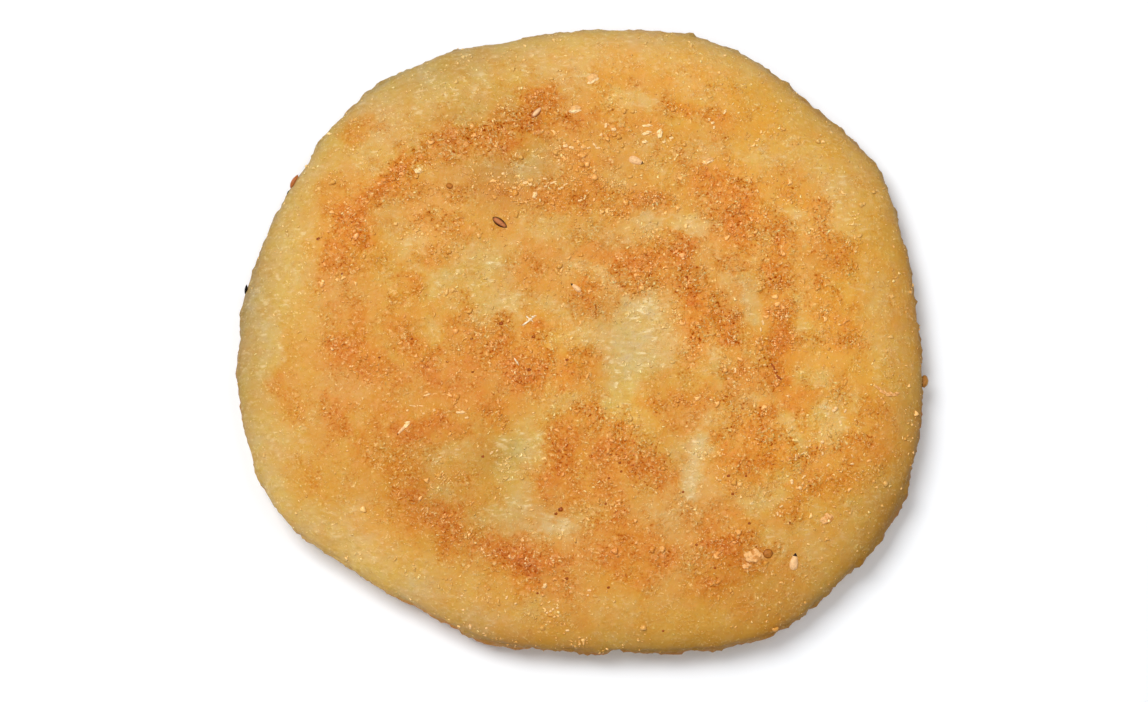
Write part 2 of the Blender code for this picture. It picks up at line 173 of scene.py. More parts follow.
# Brush strokes of browning: half-width, strength, then the points it runs through.
BROWNED = (
    # arc along the upper left shoulder
    (1.3, 1, (-37.5, 10.5), (-35.5, 15.5), (-33, 20), (-29.5, 24.5), (-25.5, 27.5), (-20.5, 30.5),
     (-15.5, 31.5), (-11, 34), (-7, 36.5), (-4.5, 38)), (2.4, 0.6, (-36, 12), (-33.5, 19)),
    (1.9, 1, (-9, 34), (-6.5, 33), (-5, 36.5)), (1.9, 0.9, (-19, 29.5), (-14.5, 30.5), (-11, 29)),
    (1.3, 0.6, (-38.5, 21), (-38.5, 19.5)), (2, 0.5, (-29.5, 22.5), (-25.5, 22.5)),
    (1.6, 0.55, (-38.5, 8.5), (-31.5, 11)),
    # upper middle
    (1.5, 0.4, (-4.5, 33.5), (2, 34)), (1.5, 0.35, (-24, 21.5), (-9, 21.5)),
    (2.2, 0.65, (-5, 22), (1, 21.5)), (1.5, 0.5, (5.5, 21), (13, 21)), (1.5, 0.6, (-3, 25), (-2.3, 20.5)),
    (1.6, 0.5, (-14.5, 28.5), (-10, 28)), (1.5, 0.4, (-3.5, 27), (3.5, 26)),
    (1.5, 0.42, (5.5, 31.5), (10, 32)), (1.2, 0.35, (2.5, 37), (4, 35.5)),
    (1.5, 0.45, (-21, 17.5), (-18.5, 15)), (1.6, 0.4, (12.5, 28.5), (12.5, 27.5)),
    (1.4, 0.65, (14, 35.5), (18.5, 35.5), (20.5, 33)),
    # upper right
    (2.4, 0.6, (16, 25), (21, 22.5), (25.5, 19.5)), (3, 1, (21.5, 20), (24.5, 16.5)),
    (1.7, 0.9, (28.5, 19), (31, 13.5)), (1.6, 0.45, (31, 21), (36, 19.5)),
    (1.5, 0.4, (32.5, 12), (35.5, 11.5)), (1.6, 0.85, (28, 11), (28.5, 7.5)),
    (2.4, 0.45, (35, 14.5), (39, 12)), (1.3, 0.6, (36.5, 8), (37.5, 3)),
    # crest right of the middle
    (2.2, 0.95, (6.5, 10), (11, 11), (13, 13.5), (15.5, 13), (16.5, 9), (18, 5.5), (19.5, 3.5)),
    (1.7, 0.45, (0.5, 12.5), (8, 12)), (1.5, 0.5, (-3, 18.7), (7, 19)), (1.9, 0.8, (7, 7.5), (15, 7.5)),
    (1.2, 0.9, (22, 1.5), (22.5, -1)), (1.6, 0.5, (17.5, 1), (16.5, -3.5)),
    (1.7, 0.9, (30, 3.5), (29.5, -1), (27.5, -4), (28.6, -6.8)), (1.3, 0.55, (40.5, 2), (40, -1)),
    (1.2, 0.4, (37.5, -1), (42, -2.5)),
    # middle
    (1.8, 0.75, (-0.8, 7.5), (1.5, 5), (4.5, 4.5)), (2.2, 0.3, (-9.5, 8.5), (-5, 12)),
    (1.6, 1.15, (-14.5, -0.3), (-12, -1.5), (-11.8, 1)), (1.3, 0.8, (-7, 1), (-6.5, -1)),
    (2.2, 1, (-10.5, -4), (-8, -7), (-6, -4)), (1.8, 0.55, (-4, -3), (0, -5), (-2.5, -7)),
    # left
    (2, 1.05, (-36.5, -1.8), (-34.5, -2.6)), (1.4, 0.65, (-35, 7.5), (-34.5, 5.5), (-33.5, 1)),
    (1.1, 0.6, (-26.5, 9), (-25, 7)), (1.5, 0.8, (-27.5, 2), (-25.5, -1.5)),
    (1.8, 0.8, (-31, -5), (-28, -6.5)), (1.5, 0.9, (-23, -4.5), (-21.5, -8)),
    (1.5, 0.55, (-19.5, -4), (-17, -8), (-14, -5)), (2.4, 0.75, (-18, 2), (-14, 1), (-15.5, -4)),
    (1.7, 0.6, (-20.5, -8.5), (-15, -10.5), (-12.5, -11.5)),
    (1.6, 0.55, (-26.5, -13), (-24, -16.5), (-18, -20.5)), (1.8, 1.1, (-35.5, 18), (-33, 14.5)),
    (1.5, 0.45, (-39, 22.5), (-38, 24)), (1.4, 0.5, (-27.5, 8), (-28.5, 4)),
    (1.5, 0.5, (-39, 3.5), (-37, 2.5)), (1.8, 0.35, (-25, 20), (-21, 15), (-19, 12)),
    (1.5, 0.4, (-34.5, -10.5), (-27, -11.5)), (1.7, 0.9, (-15, -11), (-12.5, -12.5)),
    (1.5, 0.3, (-27.5, -10), (-20.5, -11.5)), (1.8, 0.95, (-27, -15), (-22, -14)),
    (1.3, 0.7, (-21, -13.5), (-18, -14.5)), (1.5, 0.65, (-38, -10), (-36, -14)),
    (1.8, 0.9, (-45.5, -7.5), (-43, -11.5)), (1.8, 0.9, (-43, -20), (-41, -24)),
    (1.6, 1, (-36, 31), (-33, 33.5)),
    # lower left shoulder
    (2.6, 0.85, (-31, -16.5), (-27, -21), (-25, -26), (-20.5, -28)),
    (2, 1, (-19.5, -31), (-16, -31), (-12, -32), (-8, -34.5), (-3.5, -34.5)),
    (2.4, 1.3, (-11, -33), (-6, -35)), (2, 0.7, (-6, -35.5), (-2.5, -37.5)),
    (1.7, 0.9, (-18.5, -32.5), (-16, -32)), (1.6, 0.45, (-5.5, -26), (-2, -26)),
    (1.5, 0.5, (-1, -31), (0.5, -32)), (1.5, 0.5, (-18, -27.5), (-15, -27)),
    (1.5, 0.75, (-11.5, -30.5), (-9.5, -30.5)), (1.8, 0.6, (6, -18.5), (10, -20)),
    (1.5, 0.5, (1, -16), (1, -20)), (1.6, 0.6, (8, -34.5), (9, -37)),
    # dark heart below the middle
    (2, 0.95, (-3.3, -14), (-2.4, -19)), (2, 0.75, (-4, -22), (0, -25)), (1.8, 0.8, (0.5, -12), (4, -13)),
    (2.7, 1.05, (3, -13), (6.5, -16.5), (11, -21)), (1.9, 0.85, (3, -19), (4, -24), (4.5, -27.5)),
    (1.5, 0.7, (2, -29), (6, -29.5)), (2.2, 0.85, (5, -33), (9, -30.5)), (1.4, 0.7, (3.5, -33), (5.5, -36)),
    (1.6, 1, (11, -33.5), (14, -33)),
    # lower right
    (1.5, 0.85, (15.5, -28), (18, -28.5)), (1.2, 0.6, (22.5, -26.5), (23.5, -28)),
    (2.6, 0.95, (19, -33.5), (23, -32)), (2.4, 0.65, (17.5, -37), (21, -36)),
    (1.3, 0.9, (26.5, -33), (28, -32)), (1.8, 0.5, (24, -42), (30, -40.5)),
    (1.4, 0.4, (30, -36), (33, -36)), (1.8, 0.6, (17, -35.5), (22, -35.5)),
    (2, 0.5, (23, -33.5), (30, -34)),
    # right
    (1.3, 0.75, (22.5, -6.5), (27.5, -5.5)),
    (1.4, 0.6, (19.5, -8.5), (17.5, -11), (14, -10.5), (10.5, -11)), (2.3, 0.75, (23, -13), (27, -13.5)),
    (1.8, 0.45, (14.5, -12.5), (16, -13.5)), (1.5, 0.5, (20.5, -9.5), (26, -8)),
    (1.6, 0.5, (19, -17.5), (23, -18)), (1.6, 0.5, (22, -22), (25.5, -22.5)),
    (1.4, 0.5, (29.5, -24), (31, -26.5)), (1.6, 0.5, (34, -10.5), (38.5, -8.5)),
    (1.3, 0.5, (33, -16.5), (32.5, -20)), (2.2, 0.7, (25.5, -18), (28.5, -16.5)),
    (1.4, 0.75, (22.5, -19.5), (26, -20)), (1.8, 0.65, (31, -9.5), (34, -9)),
    (1.4, 0.6, (31, -18.5), (34, -17.5)), (1.8, 0.45, (43.5, -10), (45.5, -15)),
    (2.2, 0.65, (38, -16.5), (43.5, -18)), (1.8, 0.5, (37, -22), (42.5, -21.5)),
    (1.7, 0.45, (32, -22), (35, -24)),
    # small ones, all over the face
    (1.3, 0.4, (-24, 12.5), (-22, 11)), (1.6, 0.4, (20, 10.5), (22.5, 10.5)),
    (1.3, 0.5, (-23.5, -1.5), (-22, -2)), (1.5, 0.35, (-7, 14.5), (-6, 13.5)),
    (1.3, 0.35, (-18.5, 14), (-17.5, 13)), (2, 0.35, (-4, -43), (-1, -43)),
    (1.6, 0.3, (38, -26), (40, -26.5)), (1.5, 0.3, (-41, 13), (-41, 9)), (1.4, 0.3, (14, -37.5), (16, -39)),
    (1.3, 0.3, (-9, 3.7), (-6.5, 3.7)), (1.3, 0.7, (-14, 0.5), (-13, -0.5)),
    (1.8, 0.5, (20, -15.5), (20.6, -18.5)), (1.6, 0.3, (47.3, 7), (47.3, 4)),
    (1.5, 0.6, (10, -19.5), (11, -21)),
)

# Strokes of pale dough, in the hollows that the pan didn't touch.
PALE = (
    (3.9, 1, (8.5, 2), (8, -2)), (2.2, 0.6, (3.5, 5), (4, -3)), (1.8, 0.5, (12.3, 5), (12.3, -3)),
    (1.8, 0.55, (-1, 9.3), (4, 8.5)), (1.6, 0.45, (-5, 4), (-2.5, 3.7)), (2.2, 0.9, (6, -5), (5.5, -9.5)),
    (3.6, 0.7, (-15.5, 11), (-14, 4)), (2.2, 0.6, (-21.5, 8), (-18, 8.5)),
    (1.8, 0.6, (-14, 3.5), (-11, 4.5)), (2, 0.75, (-10.5, -16), (-7.5, -17)),
    (2.4, 0.5, (-11, -20), (-9.5, -22.5)), (1.7, 0.65, (-9.5, -25), (-7.5, -28)),
    (1.6, 0.6, (-14.5, -28), (-10, -27)), (1.5, 0.85, (-5.5, -28.5), (-2, -29.3)),
    (1.5, 0.6, (-15.5, -29.7), (-12, -29.5)), (1.8, 0.9, (16.6, -17), (16, -20), (15.8, -23)),
    (1.4, 0.55, (13, -18.2), (14.5, -19.5)), (1.8, 0.45, (12, -27.5), (16, -27.3)),
    (1.6, 0.6, (32.7, -7), (34.5, -7.5)), (1.6, 0.6, (30, -13.5), (31.3, -16.5)),
    (1.9, 0.5, (20, -13), (25, -11)), (2.6, 0.35, (-31.5, -17), (-27, -21)),
    (3.2, 0.35, (-32, -34), (-19, -38), (-18, -33.5)), (1.9, 0.7, (28, -31), (29.5, -32.5)),
    (1.6, 0.35, (16, -33), (17.5, -34)), (1.7, 0.65, (24, -25), (27.5, -24.5)),
    (1.1, 0.5, (29, -22), (31.5, -20.5)), (1.2, 0.65, (8, 16.5), (11, 17)),
    (1.3, 0.7, (14.5, 17), (18, 17)), (1.6, 0.4, (3, 15.5), (13, 15)),
    (1.6, 0.55, (-8.5, 17), (-4.5, 16.3)), (2, 0.6, (-7.5, 26), (-5, 25)), (1.5, 0.5, (5, 9.5), (6.5, 8.2)),
    (1.4, 0.35, (5, 29.5), (8, 30)), (1.4, 0.35, (13, 33), (14.5, 32)),
    (1.4, 0.25, (-14.5, 25.5), (-11, 25.5)), (2, 0.3, (4, 25), (6, 27)),
    (3.6, 0.45, (-29, 32.5), (-25, 36), (-16.5, 39)), (2.4, 0.55, (-17, 34), (-12, 36)),
    (2.6, 0.4, (-8, 40.5), (-1, 41.5)), (2.2, 0.45, (11, 28.5), (14, 24)), (1.8, 0.4, (16, 28), (18, 28.5)),
    (1.8, 0.4, (15.5, 39), (18, 37.5)), (2.2, 0.4, (27, 28.5), (36, 27)), (1.3, 0.65, (5, 37), (10, 35.5)),
    (1.3, 0.5, (31.7, 18), (32.3, 16.5)), (1.3, 0.6, (25.5, 8), (25, 3)),
    (1.4, 0.4, (26, 11.5), (27.5, 12.5)), (1.5, 0.35, (18, 20), (22, 20.3)),
    (1.4, 0.5, (28.5, 20), (29.5, 18.5)), (1.4, 0.5, (32.5, 15.5), (33, 13.5)),
    (1.3, 0.4, (18, 11), (18.5, 7.5)), (1.6, 0.4, (20.5, 5), (22, 8)), (2, 0.35, (38, 5.5), (42, 9.5)),
    (1.2, 0.55, (31.5, 5), (33, 1.5)), (2.2, 0.7, (37.3, -12.5), (36, -15.5)),
    (1.4, 0.55, (-23, 1), (-22, 0.5)), (2.2, 0.25, (-28, 16.5), (-24, 18)),
    (1.7, 0.55, (-22, -18.5), (-17, -18.5)), (1.6, 0.6, (-5, -1), (-0.5, -1.5)),
    (1.5, 0.45, (-6, -10), (-4.5, -12)), (1.4, 0.4, (-3.5, -9.5), (-1.5, -10)),
    (1.7, 0.45, (-11, -13), (-9, -14.3)), (1.7, 0.5, (0.5, -27), (3, -26.5)),
    (1.3, 0.5, (-25.3, 14), (-25, 10.5)), (1.8, 0.4, (32, -28), (36, -27)),
    (1.7, 0.75, (7, -12), (9.7, -16)), (1.4, 0.45, (18, -5), (20, -4)), (1.8, 0.4, (-31, 11), (-28.5, 8)),
    (1.3, 0.4, (45, 9), (44, -2)), (1.6, 0.5, (-32, 26.5), (-29, 28.5)),
    (2.4, 0.55, (38.5, 22), (41.5, 18)), (3.2, 0.45, (-43.5, 12), (-43.5, 5)),
    (2, 0.5, (-46.5, 4), (-46.8, -5)),
    (3.2, 0.5, (-44, -12.5), (-44.5, -18), (-43, -26), (-34, -33), (-25, -38)),
    (2.6, 0.4, (43, -22), (37.5, -31), (31, -39)), (2, 0.4, (45.5, -3), (45, -8)),
    (1.8, 0.4, (1, -41.5), (5, -41.5)), (1.5, 0.4, (-35.5, 8.5), (-34.5, 7)),
    (1.3, 0.45, (2.5, -14), (4.5, -15)), (2, 0.55, (-33, -34.5), (-29, -36.5)),
    (1.5, 0.3, (-22, -30.5), (-21, -31.5)), (1.3, 0.4, (25, -4.5), (26.5, -4)),
    (2.4, 0.5, (-47, -14), (-46.5, -22), (-43.5, -26.5)), (1.6, 0.4, (38, -9), (40.5, -9)),
    (1.4, 0.5, (-19.5, 4.8), (-18, 3.8)), (1.8, 0.4, (-49, 6), (-49, 1)),
    (1.4, 0.5, (10, -23), (10.5, -24)), (1.3, 0.4, (27, 15.5), (28, 14.5)),
    (1.3, 0.4, (-31, 21), (-30, 20)), (1.3, 0.45, (20.5, -5), (21.5, -5.5)),
    (1.4, 0.45, (-22, -24), (-20, -25)), (1.2, 0.4, (-24.5, 29.5), (-22.5, 29)),
    (1.6, 0.4, (-7, -40), (-5.5, -40.5)), (1.5, 0.5, (-16.5, -43), (-15.5, -43.5)),
    (1.4, 0.4, (-33, -25.5), (-32.5, -27)), (1.3, 0.4, (-2, 13.2), (-0.5, 13.2)),
    (1.2, 0.4, (-38.5, -9), (-37.5, -9.5)), (1.2, 0.4, (3, 18), (4.5, 18)),
)
# Strokes run a little wider than their half-width.
STROKE_SPREAD = 1.15
# Their edges wander: by how much, and on waves of what length.
WANDER = ((1.4, 5.0), (1.0, 1.8), (0.5, 0.8))

# Tone of the crust: 0 is raw cream, about 0.4 golden and 1 dark brown. On the face and
# the rim it starts from a middle tone and takes a share of the brown and the pale strokes.
FACE_TONE, FACE_BROWNING, FACE_PALING, FACE_PATCHES = 0.455, 0.31, 0.33, 0.10
RIM_TONE, RIM_BROWNING, RIM_PALING, RIM_PATCHES = 0.30, 0.20, 0.15, 0.08
FOOT_TONE, FOOT_EDGE, FOOT_PATCHES = 0.50, 0.22, 0.25
FOOT_BLOTCH, FOOT_BLOTCH_WAVE = 0.30, 13.0
PATCH_WAVES = (4.0, 1.6)
# The rim is darkest in this direction: browner, partly from frying and partly as painted shade.
RIM_DARKEST, RIM_DARK_SWING = -45, 0.11
# How much browner the side wall is, partly from frying, partly painted shade; and the lip.
EDGE_TONE, EDGE_WAVE = 0.16, 3.0
LIP_TONE = 0.38

# The crust gets grainier in this direction, between these two distances from the middle.
GRIT_HEADING, GRIT_REACH = 55, (-26, 8)
GRIT_LEAST, GRIT_MOST = 0.62, 1.20

# Soft ovals where the crust's colour leans to pink (above 0) or to yellow.
BLUSHES = (
    (12, 12, 15, 9, 0, 0.9), (22.5, 16, 7, 7, 0, 0.4), (-4, 24, 8, 6, 0, 0.5), (-6, -32, 8, 4, -10, 0.9),
    (15.6, -23, 4, 8, 0, 1.1), (-32, -7.5, 6, 4, 0, 0.9), (-14, -6, 10, 5, 0, 0.6),
    (-16, -19, 10, 5, 0, -0.8), (10.5, -8, 6, 4, 0, -1.1), (-16.5, 6.5, 4, 7, 0, -0.8),
    (-30, 9, 6, 9, 0, -0.5), (44, 0, 8, 26, 0, -1.1), (36, -32, 9, 11, 0, -0.8), (13, -45, 14, 6, 0, -1.7),
    (30, 34, 8, 5, -40, -1.6), (-43, 6, 4, 20, 0, -0.7), (-26, -30, 12, 6, -40, -0.6),
    (-28, 26, 13, 6, 55, -0.7), (6.5, 28, 5, 11, 0, 0.4), (0.5, 9, 10, 4, 0, 0.35),
    (-40, -5, 5, 6, 0, -0.5), (7.5, 0.5, 6, 5, -40, -0.5), (-6.5, -8.5, 7, 5, 0, 0.35),
    (37, -8, 5, 7, 0, 0.35), (-26.5, -23.5, 9, 5, -45, -0.9), (29, -23.5, 5, 3, 0, 0.4),
    (-17, -40, 12, 4.5, -20, 0.7), (-7, 35.5, 4, 3, 0, -1.1), (16.5, -18.5, 2.5, 3, 0, 0.6),
    (-37, -32, 5, 5, 0, 0.4), (40, 20.5, 4, 4, 0, 0.6), (2.5, -16, 4, 3, 0, 0.4),
)
BLUSH, BLUSH_WAVE = 0.34, 6.5

# Soft ovals, darker (above 0) or lighter: partly wet dough, partly painted light and shade.
SHADES = (
    (-22, -22, 17, 11, -10, 0.07), (-13.5, -18.5, 5, 3.5, 20, 0.11), (-22.5, -24, 4, 5, 0, 0.08),
    (-13, -28, 6, 5, 0, 0.07), (-14, 25, 6, 3, 5, 0.14), (-6.8, 28.5, 3, 3.5, 0, 0.1),
    (-11, 20.5, 5, 2, 0, 0.08), (-17, 35, 8, 3, 15, 0.13), (-24, 41, 9, 3, 25, 0.08),
    (-50, 3, 4, 18, 0, 0.13), (7, -3.5, 5, 7, 0, 0.06), (24, -36, 7, 4, 0, 0.09),
    (46, -27, 5, 8, -30, 0.16), (13, -48, 10, 2, 0, 0.1), (-12, -46.5, 5, 2, 0, 0.12),
    (31, 12, 17, 20, 0, -0.09), (12, 41, 16, 6, -10, -0.09), (26, 34, 10, 6, -30, -0.03),
    (32, -17, 12, 4.5, 10, -0.1), (38, -4, 8, 10, 0, -0.07), (3, 9, 5, 2, 5, -0.1),
    (-3, -0.5, 5, 3, -10, -0.07), (17.5, 0, 3.5, 4, 0, -0.06), (-6, -6, 5, 4, 0, -0.07),
    (6, -12, 5, 4, 0, -0.07), (24, -12, 5, 3, 0, -0.07), (-35, 18, 8, 4, 55, -0.07),
    (-24, 18, 4, 4, 0, -0.06), (-18, 42, 8, 3, 20, 0.08), (-12, 24, 4, 3, 0, 0.06),
    (-11, -18, 4, 3, 0, 0.07), (30, 0, 3.5, 5, 0, 0.07), (36, 18, 4, 4, 0, -0.06),
    (-31, -31, 5, 5, 0, -0.07), (22, 23, 6, 4, 0, -0.05), (28, 18, 5, 4, 0, -0.05),
    (18, 42, 6, 3, 0, -0.04), (3, 44, 8, 3, 0, -0.05), (5.5, 36, 4, 3, 0, -0.05), (24, 6, 4, 4, 0, 0.05),
    (-30, 18, 3, 3, 0, 0.05), (36, 12, 4, 3, 0, 0.05), (-7, 25.5, 3.5, 2.5, 0, 0.05),
    (12, -6, 3, 3, 0, 0.05), (18, -0.5, 3, 2.5, 0, -0.04), (48, -12, 3, 5, 0, 0.06),
    (-15, 9, 4, 4, 0, 0.04),
)
# How dark the crust is everywhere, and at most with its painted shade.
SHADE, MOST_SHADE_AND_STAIN = 0.10, 0.5
# Painted shade: the rim is darkened where it is steep, but not round this direction.
RIM_PAINTED_SHADE, CLEAR_ANGLE, CLEAR_WIDTH = 0.36, 225, 32

# ---------------------------------------------------------------- grains of the crust

# Seeds, flakes and crumbs baked into the face: middle, size and heading of the tip.
Grain = namedtuple("Grain", "x y length width thick heading")
TOASTED_SEEDS = (
    (-12.4, 17.15, 2.9, 1.2, 0.9, -36),
)
TAN_SEEDS = (
    (-6.9, 34.4, 2.4, 1, 0.9, 48),
)
PALE_SEEDS = (
    (8.2, 26.8, 2.5, 1.2, 0.9, -20), (31.1, -33.9, 2.6, 1.25, 0.9, 82), (-26.8, -14.6, 2, 0.45, 0.45, 226),
    (-1, 7.1, 2, 0.75, 0.7, 140),
)
BROWN_NIBS = (
    (27.2, -32.8, 1.5, 1.4, 0.9, 0), (-20, 22.9, 1.1, 0.9, 0.6, -35),
)
BLISTERS = (
    (25.2, -33.3, 2.5, 2.3, 0.6, 0), (24.1, -34.7, 1.2, 1, 0.5, 0), (36.1, -27.6, 1.8, 1.6, 0.5, 20),
    # the curled edge of a torn one
    (44, -8, 1.2, 0.5, 0.3, -35), (44.8, -8.6, 1.3, 0.6, 0.3, -25), (45.8, -8.9, 1.3, 0.8, 0.4, 0),
    (46.7, -8.8, 1.2, 0.6, 0.3, 15),
)
FLAKES = (
    (1.6, 39.9, 2.2, 1.4, 0.6, 35), (-1.1, 34.9, 2, 1.2, 0.6, 15), (19.1, 26.8, 1.9, 0.8, 0.7, 26),
)
CRUMBS = (
    (11.8, 31.2, 1.4, 1, 0.7, 80), (9.8, 31.2, 1.3, 0.7, 0.6, 15), (-24.7, 25.2, 1.1, 1.1, 0.7, 0),
    (-25.9, -13.7, 1.15, 0.85, 0.6, 50), (9.9, 32.4, 1.4, 0.5, 0.4, 0), (9.5, 29.8, 0.8, 0.6, 0.5, 0),
    (13.5, 30.4, 0.6, 0.5, 0.4, 0), (12.4, 29.8, 0.5, 0.5, 0.4, 0), (19.2, 33.4, 0.6, 0.5, 0.4, 30),
    (19.8, 32.9, 0.5, 0.5, 0.4, 0), (20, 32.2, 0.5, 0.4, 0.4, 60), (21.7, 34.8, 0.8, 0.4, 0.4, 60),
)
# White shreds that stand for a glint of oil: painted highlights.
PAINTED_GLINT_SHREDS = (
    (-8, 2, 2, 0.36, 0.4, 36), (-7.9, 2.3, 1.3, 0.3, 0.4, -40), (-7.2, 2.7, 0.7, 0.26, 0.3, 10),
    (-9.8, -4.3, 1.1, 0.28, 0.3, -60),
)
CRACKS = (
    (28.3, -4.9, 0.9, 0.3, 0.3, -60), (28.6, -5.7, 0.9, 0.35, 0.3, -75), (29.1, -6.6, 1, 0.4, 0.3, -50),
)
# Lumps and wet flecks of crust, coloured light as painted glints: x, y, length, width and heading.
GLINTS = (
    # above the middle
    (-2.5, 29.1, 0.9, 0.7, 0), (-1.6, 28.8, 0.9, 0.6, -20), (0.2, 28.9, 0.9, 0.4, -10),
    (1, 28.8, 0.7, 0.4, 10), (1.9, 29.2, 0.9, 0.4, -50), (2.4, 28.8, 0.9, 0.4, 0), (-8.6, 23.3, 1, 0.7, 0),
    (-7.8, 23, 0.6, 0.6, 0), (-5.6, 23.9, 0.7, 0.4, -10), (-5.5, 22.7, 0.6, 0.4, 20),
    (-10.8, 22.1, 0.6, 0.4, 20), (-10.1, 22.5, 0.4, 0.4, 0), (-10.7, 21.1, 0.4, 0.3, 0),
    (-4.3, 23.3, 1.2, 0.4, 20), (-3.2, 22.4, 1, 0.4, 20), (-2.5, 23, 1, 0.3, 25),
    (-7.1, 21.4, 1.2, 0.9, 60), (0.7, 22.1, 0.4, 0.4, 0), (0.4, 21, 0.7, 0.3, 60),
    (-0.4, 20.5, 0.6, 0.4, 0), (-11.9, 24.8, 0.6, 0.6, 0), (-12.6, 24.2, 0.4, 0.4, 0),
    (-11.6, 23.4, 0.4, 0.4, 0), (-10.1, 27.8, 0.9, 0.2, 80), (-3.5, 26.9, 0.4, 0.4, 0),
    (-3.5, 26.3, 0.4, 0.3, 0), (-7.1, 25.7, 0.4, 0.4, 0), (3.6, 32.4, 0.9, 0.6, 70),
    (4.8, 31.7, 0.9, 0.7, 0), (2.9, 30.9, 0.4, 0.6, 0),
    # right of the middle
    (22.6, -0.5, 0.7, 0.3, 60), (21.8, 0, 0.6, 0.2, 120), (21.7, -1.1, 0.6, 0.2, 90),
    (22.4, -1.4, 0.6, 0.2, 0), (20.5, 1.9, 0.6, 0.2, 80), (20.9, 3.3, 0.4, 0.2, 90),
    (22.7, -5.5, 0.9, 0.4, 90), (21.7, -6.8, 0.4, 0.4, 0), (26.9, 1.8, 0.9, 0.4, 100),
    (26.6, 0.7, 0.7, 0.4, 90), (25.9, -1.3, 0.6, 0.3, -60), (30, 4.1, 0.4, 0.4, 0),
    (29.7, 2.5, 0.7, 0.3, 90), (30.5, 2.7, 0.6, 0.4, 0),
    # lower right
    (20, -20.2, 0.9, 0.2, -65), (20.9, -20.6, 0.7, 0.2, -40), (20.2, -22, 0.7, 0.3, -10),
    (20.8, -21.5, 0.6, 0.2, 60), (30.9, -22.1, 0.9, 0.6, 90), (32.1, -23.1, 0.7, 0.6, -60),
    (27.6, -25, 0.4, 0.3, 0), (28.1, -25.7, 0.4, 0.2, -60), (29.3, -25.8, 0.7, 0.3, 30),
    (28.7, -26.9, 0.7, 0.4, 90), (29.4, -24.7, 0.4, 0.3, 0), (31.5, -18.3, 0.6, 0.3, 80),
    (31.5, -18.9, 0.4, 0.3, 0), (32.6, -17.9, 0.9, 0.2, 30), (35.5, -16.2, 0.6, 0.6, 0),
    (35.1, -14.8, 0.4, 0.4, 0), (33.2, -17, 0.4, 0.4, 0), (33.6, -16.1, 0.4, 0.3, 0),
    (35.5, -17.9, 0.6, 0.4, 90), (39.9, -18.3, 0.6, 0.3, -70), (39.9, -19.4, 0.6, 0.4, 0),
    (36.3, -19.6, 0.6, 0.4, 45), (32.7, -21.4, 0.9, 0.3, 40), (37.5, -11.3, 1.2, 0.7, 40),
    (39, -11.5, 0.7, 0.4, 60), (38.2, -13.2, 0.6, 0.4, 90),
    # left
    (-25.9, -11.6, 0.4, 0.4, 0), (-25.1, -10.9, 1.2, 0.2, -10), (-23.9, -10.9, 0.7, 0.2, -10),
    (-23.5, -12.1, 0.4, 0.4, 0), (-21.9, -11.6, 0.4, 0.4, 0), (-22.9, -9.2, 0.9, 0.4, 20),
    (-18, -11.9, 1.5, 0.6, 0), (-17.1, -12.7, 0.7, 0.4, 0), (-22.6, -18.3, 0.6, 0.2, 30),
    (-21, -18.6, 0.6, 0.3, 0), (-13.4, -17.9, 0.7, 0.4, 40), (-12.6, -17.6, 0.4, 0.4, 0),
    # below the middle
    (-11.1, -39.2, 0.6, 0.4, 60), (-9.8, -40.1, 0.4, 0.4, 0), (-16.5, -43.2, 0.9, 0.6, 80),
    (-17.5, -40.9, 0.4, 0.4, 0), (-17.7, -38.9, 0.4, 0.3, 0), (-14.1, -43.5, 0.4, 0.4, 0),
    (-14.5, -44.2, 0.4, 0.3, 0), (-10.7, -33.3, 0.6, 0.4, 100), (-14.5, -32.7, 0.4, 0.2, -40),
    (-13.7, -33.1, 0.7, 0.2, 10), (-14.8, -32.1, 0.4, 0.2, 90), (-8.3, -33.6, 0.6, 0.3, 60),
    (-8.4, -34.3, 0.4, 0.3, 0), (-5.5, -37.5, 0.9, 0.7, 60), (1, -38.2, 0.6, 0.4, 0),
    (0.8, -38.9, 0.4, 0.4, 0), (-5.2, -41.4, 0.4, 0.4, 0), (-4.7, -41.2, 0.4, 0.4, 0),
    (-4.3, -40.9, 0.4, 0.4, 0), (-3.7, -40.7, 0.4, 0.4, 0), (-2.2, -43.9, 0.6, 0.4, 0),
    (-4.6, -33.6, 0.4, 0.3, 0), (-4.3, -33.9, 0.4, 0.4, 0),
)
# Pinholes where steam came out: x, y and width.
PINHOLES = (
    (-2.3, -36.5, 0.5), (3.8, -37.8, 0.45), (-6.6, -38.6, 0.4), (-14.7, -18.5, 0.45), (21.5, -21.4, 0.5),
    (24.1, -21.4, 0.4), (22.1, -24.1, 0.45), (24.5, -28.4, 0.45), (30.5, -28.2, 0.4), (14.8, -23.8, 0.4),
    (-25.4, -0.7, 0.45), (-30.2, -3.6, 0.4), (-20.1, -4.2, 0.4), (-3.2, -26.4, 0.8), (-3.9, -27, 0.5),
    (11.8, -44, 0.4), (-12.1, 1.6, 0.7), (-7.3, -0.5, 0.55), (-7.9, -5.5, 0.6), (-2.3, -4, 0.5),
    (-16.3, -5.8, 0.4), (-39.7, 14.8, 0.6), (-36, 9.3, 0.4), (5.5, -19.5, 0.45), (5.7, -20.8, 0.4),
    (3.9, -21.8, 0.4), (3.4, -25.6, 0.4), (-16.5, -0.7, 0.45), (19.4, -35, 0.4), (16.7, -31.6, 0.4),
)
# How thick a glint and a pinhole are, as a share of their width.
GLINT_THICKNESS, PINHOLE_THICKNESS = 0.8, 0.35
# Grains on the rim: direction, height, size, and slope of the long way.
RimGrain = namedtuple("RimGrain", "angle height length width thick slope")
RIM_TAN_SEEDS = (
    (151.4, 5.4, 2.4, 1.2, 0.9, 12),
)
RIM_BLACK_SEEDS = (
    (153.4, 4.6, 1.3, 0.8, 0.5, -20), (172.1, 4.4, 1.7, 0.8, 0.5, 35),
)
RIM_KNOBS = (
    (352.1, 4.6, 1.9, 1.2, 1.2, 0),
)
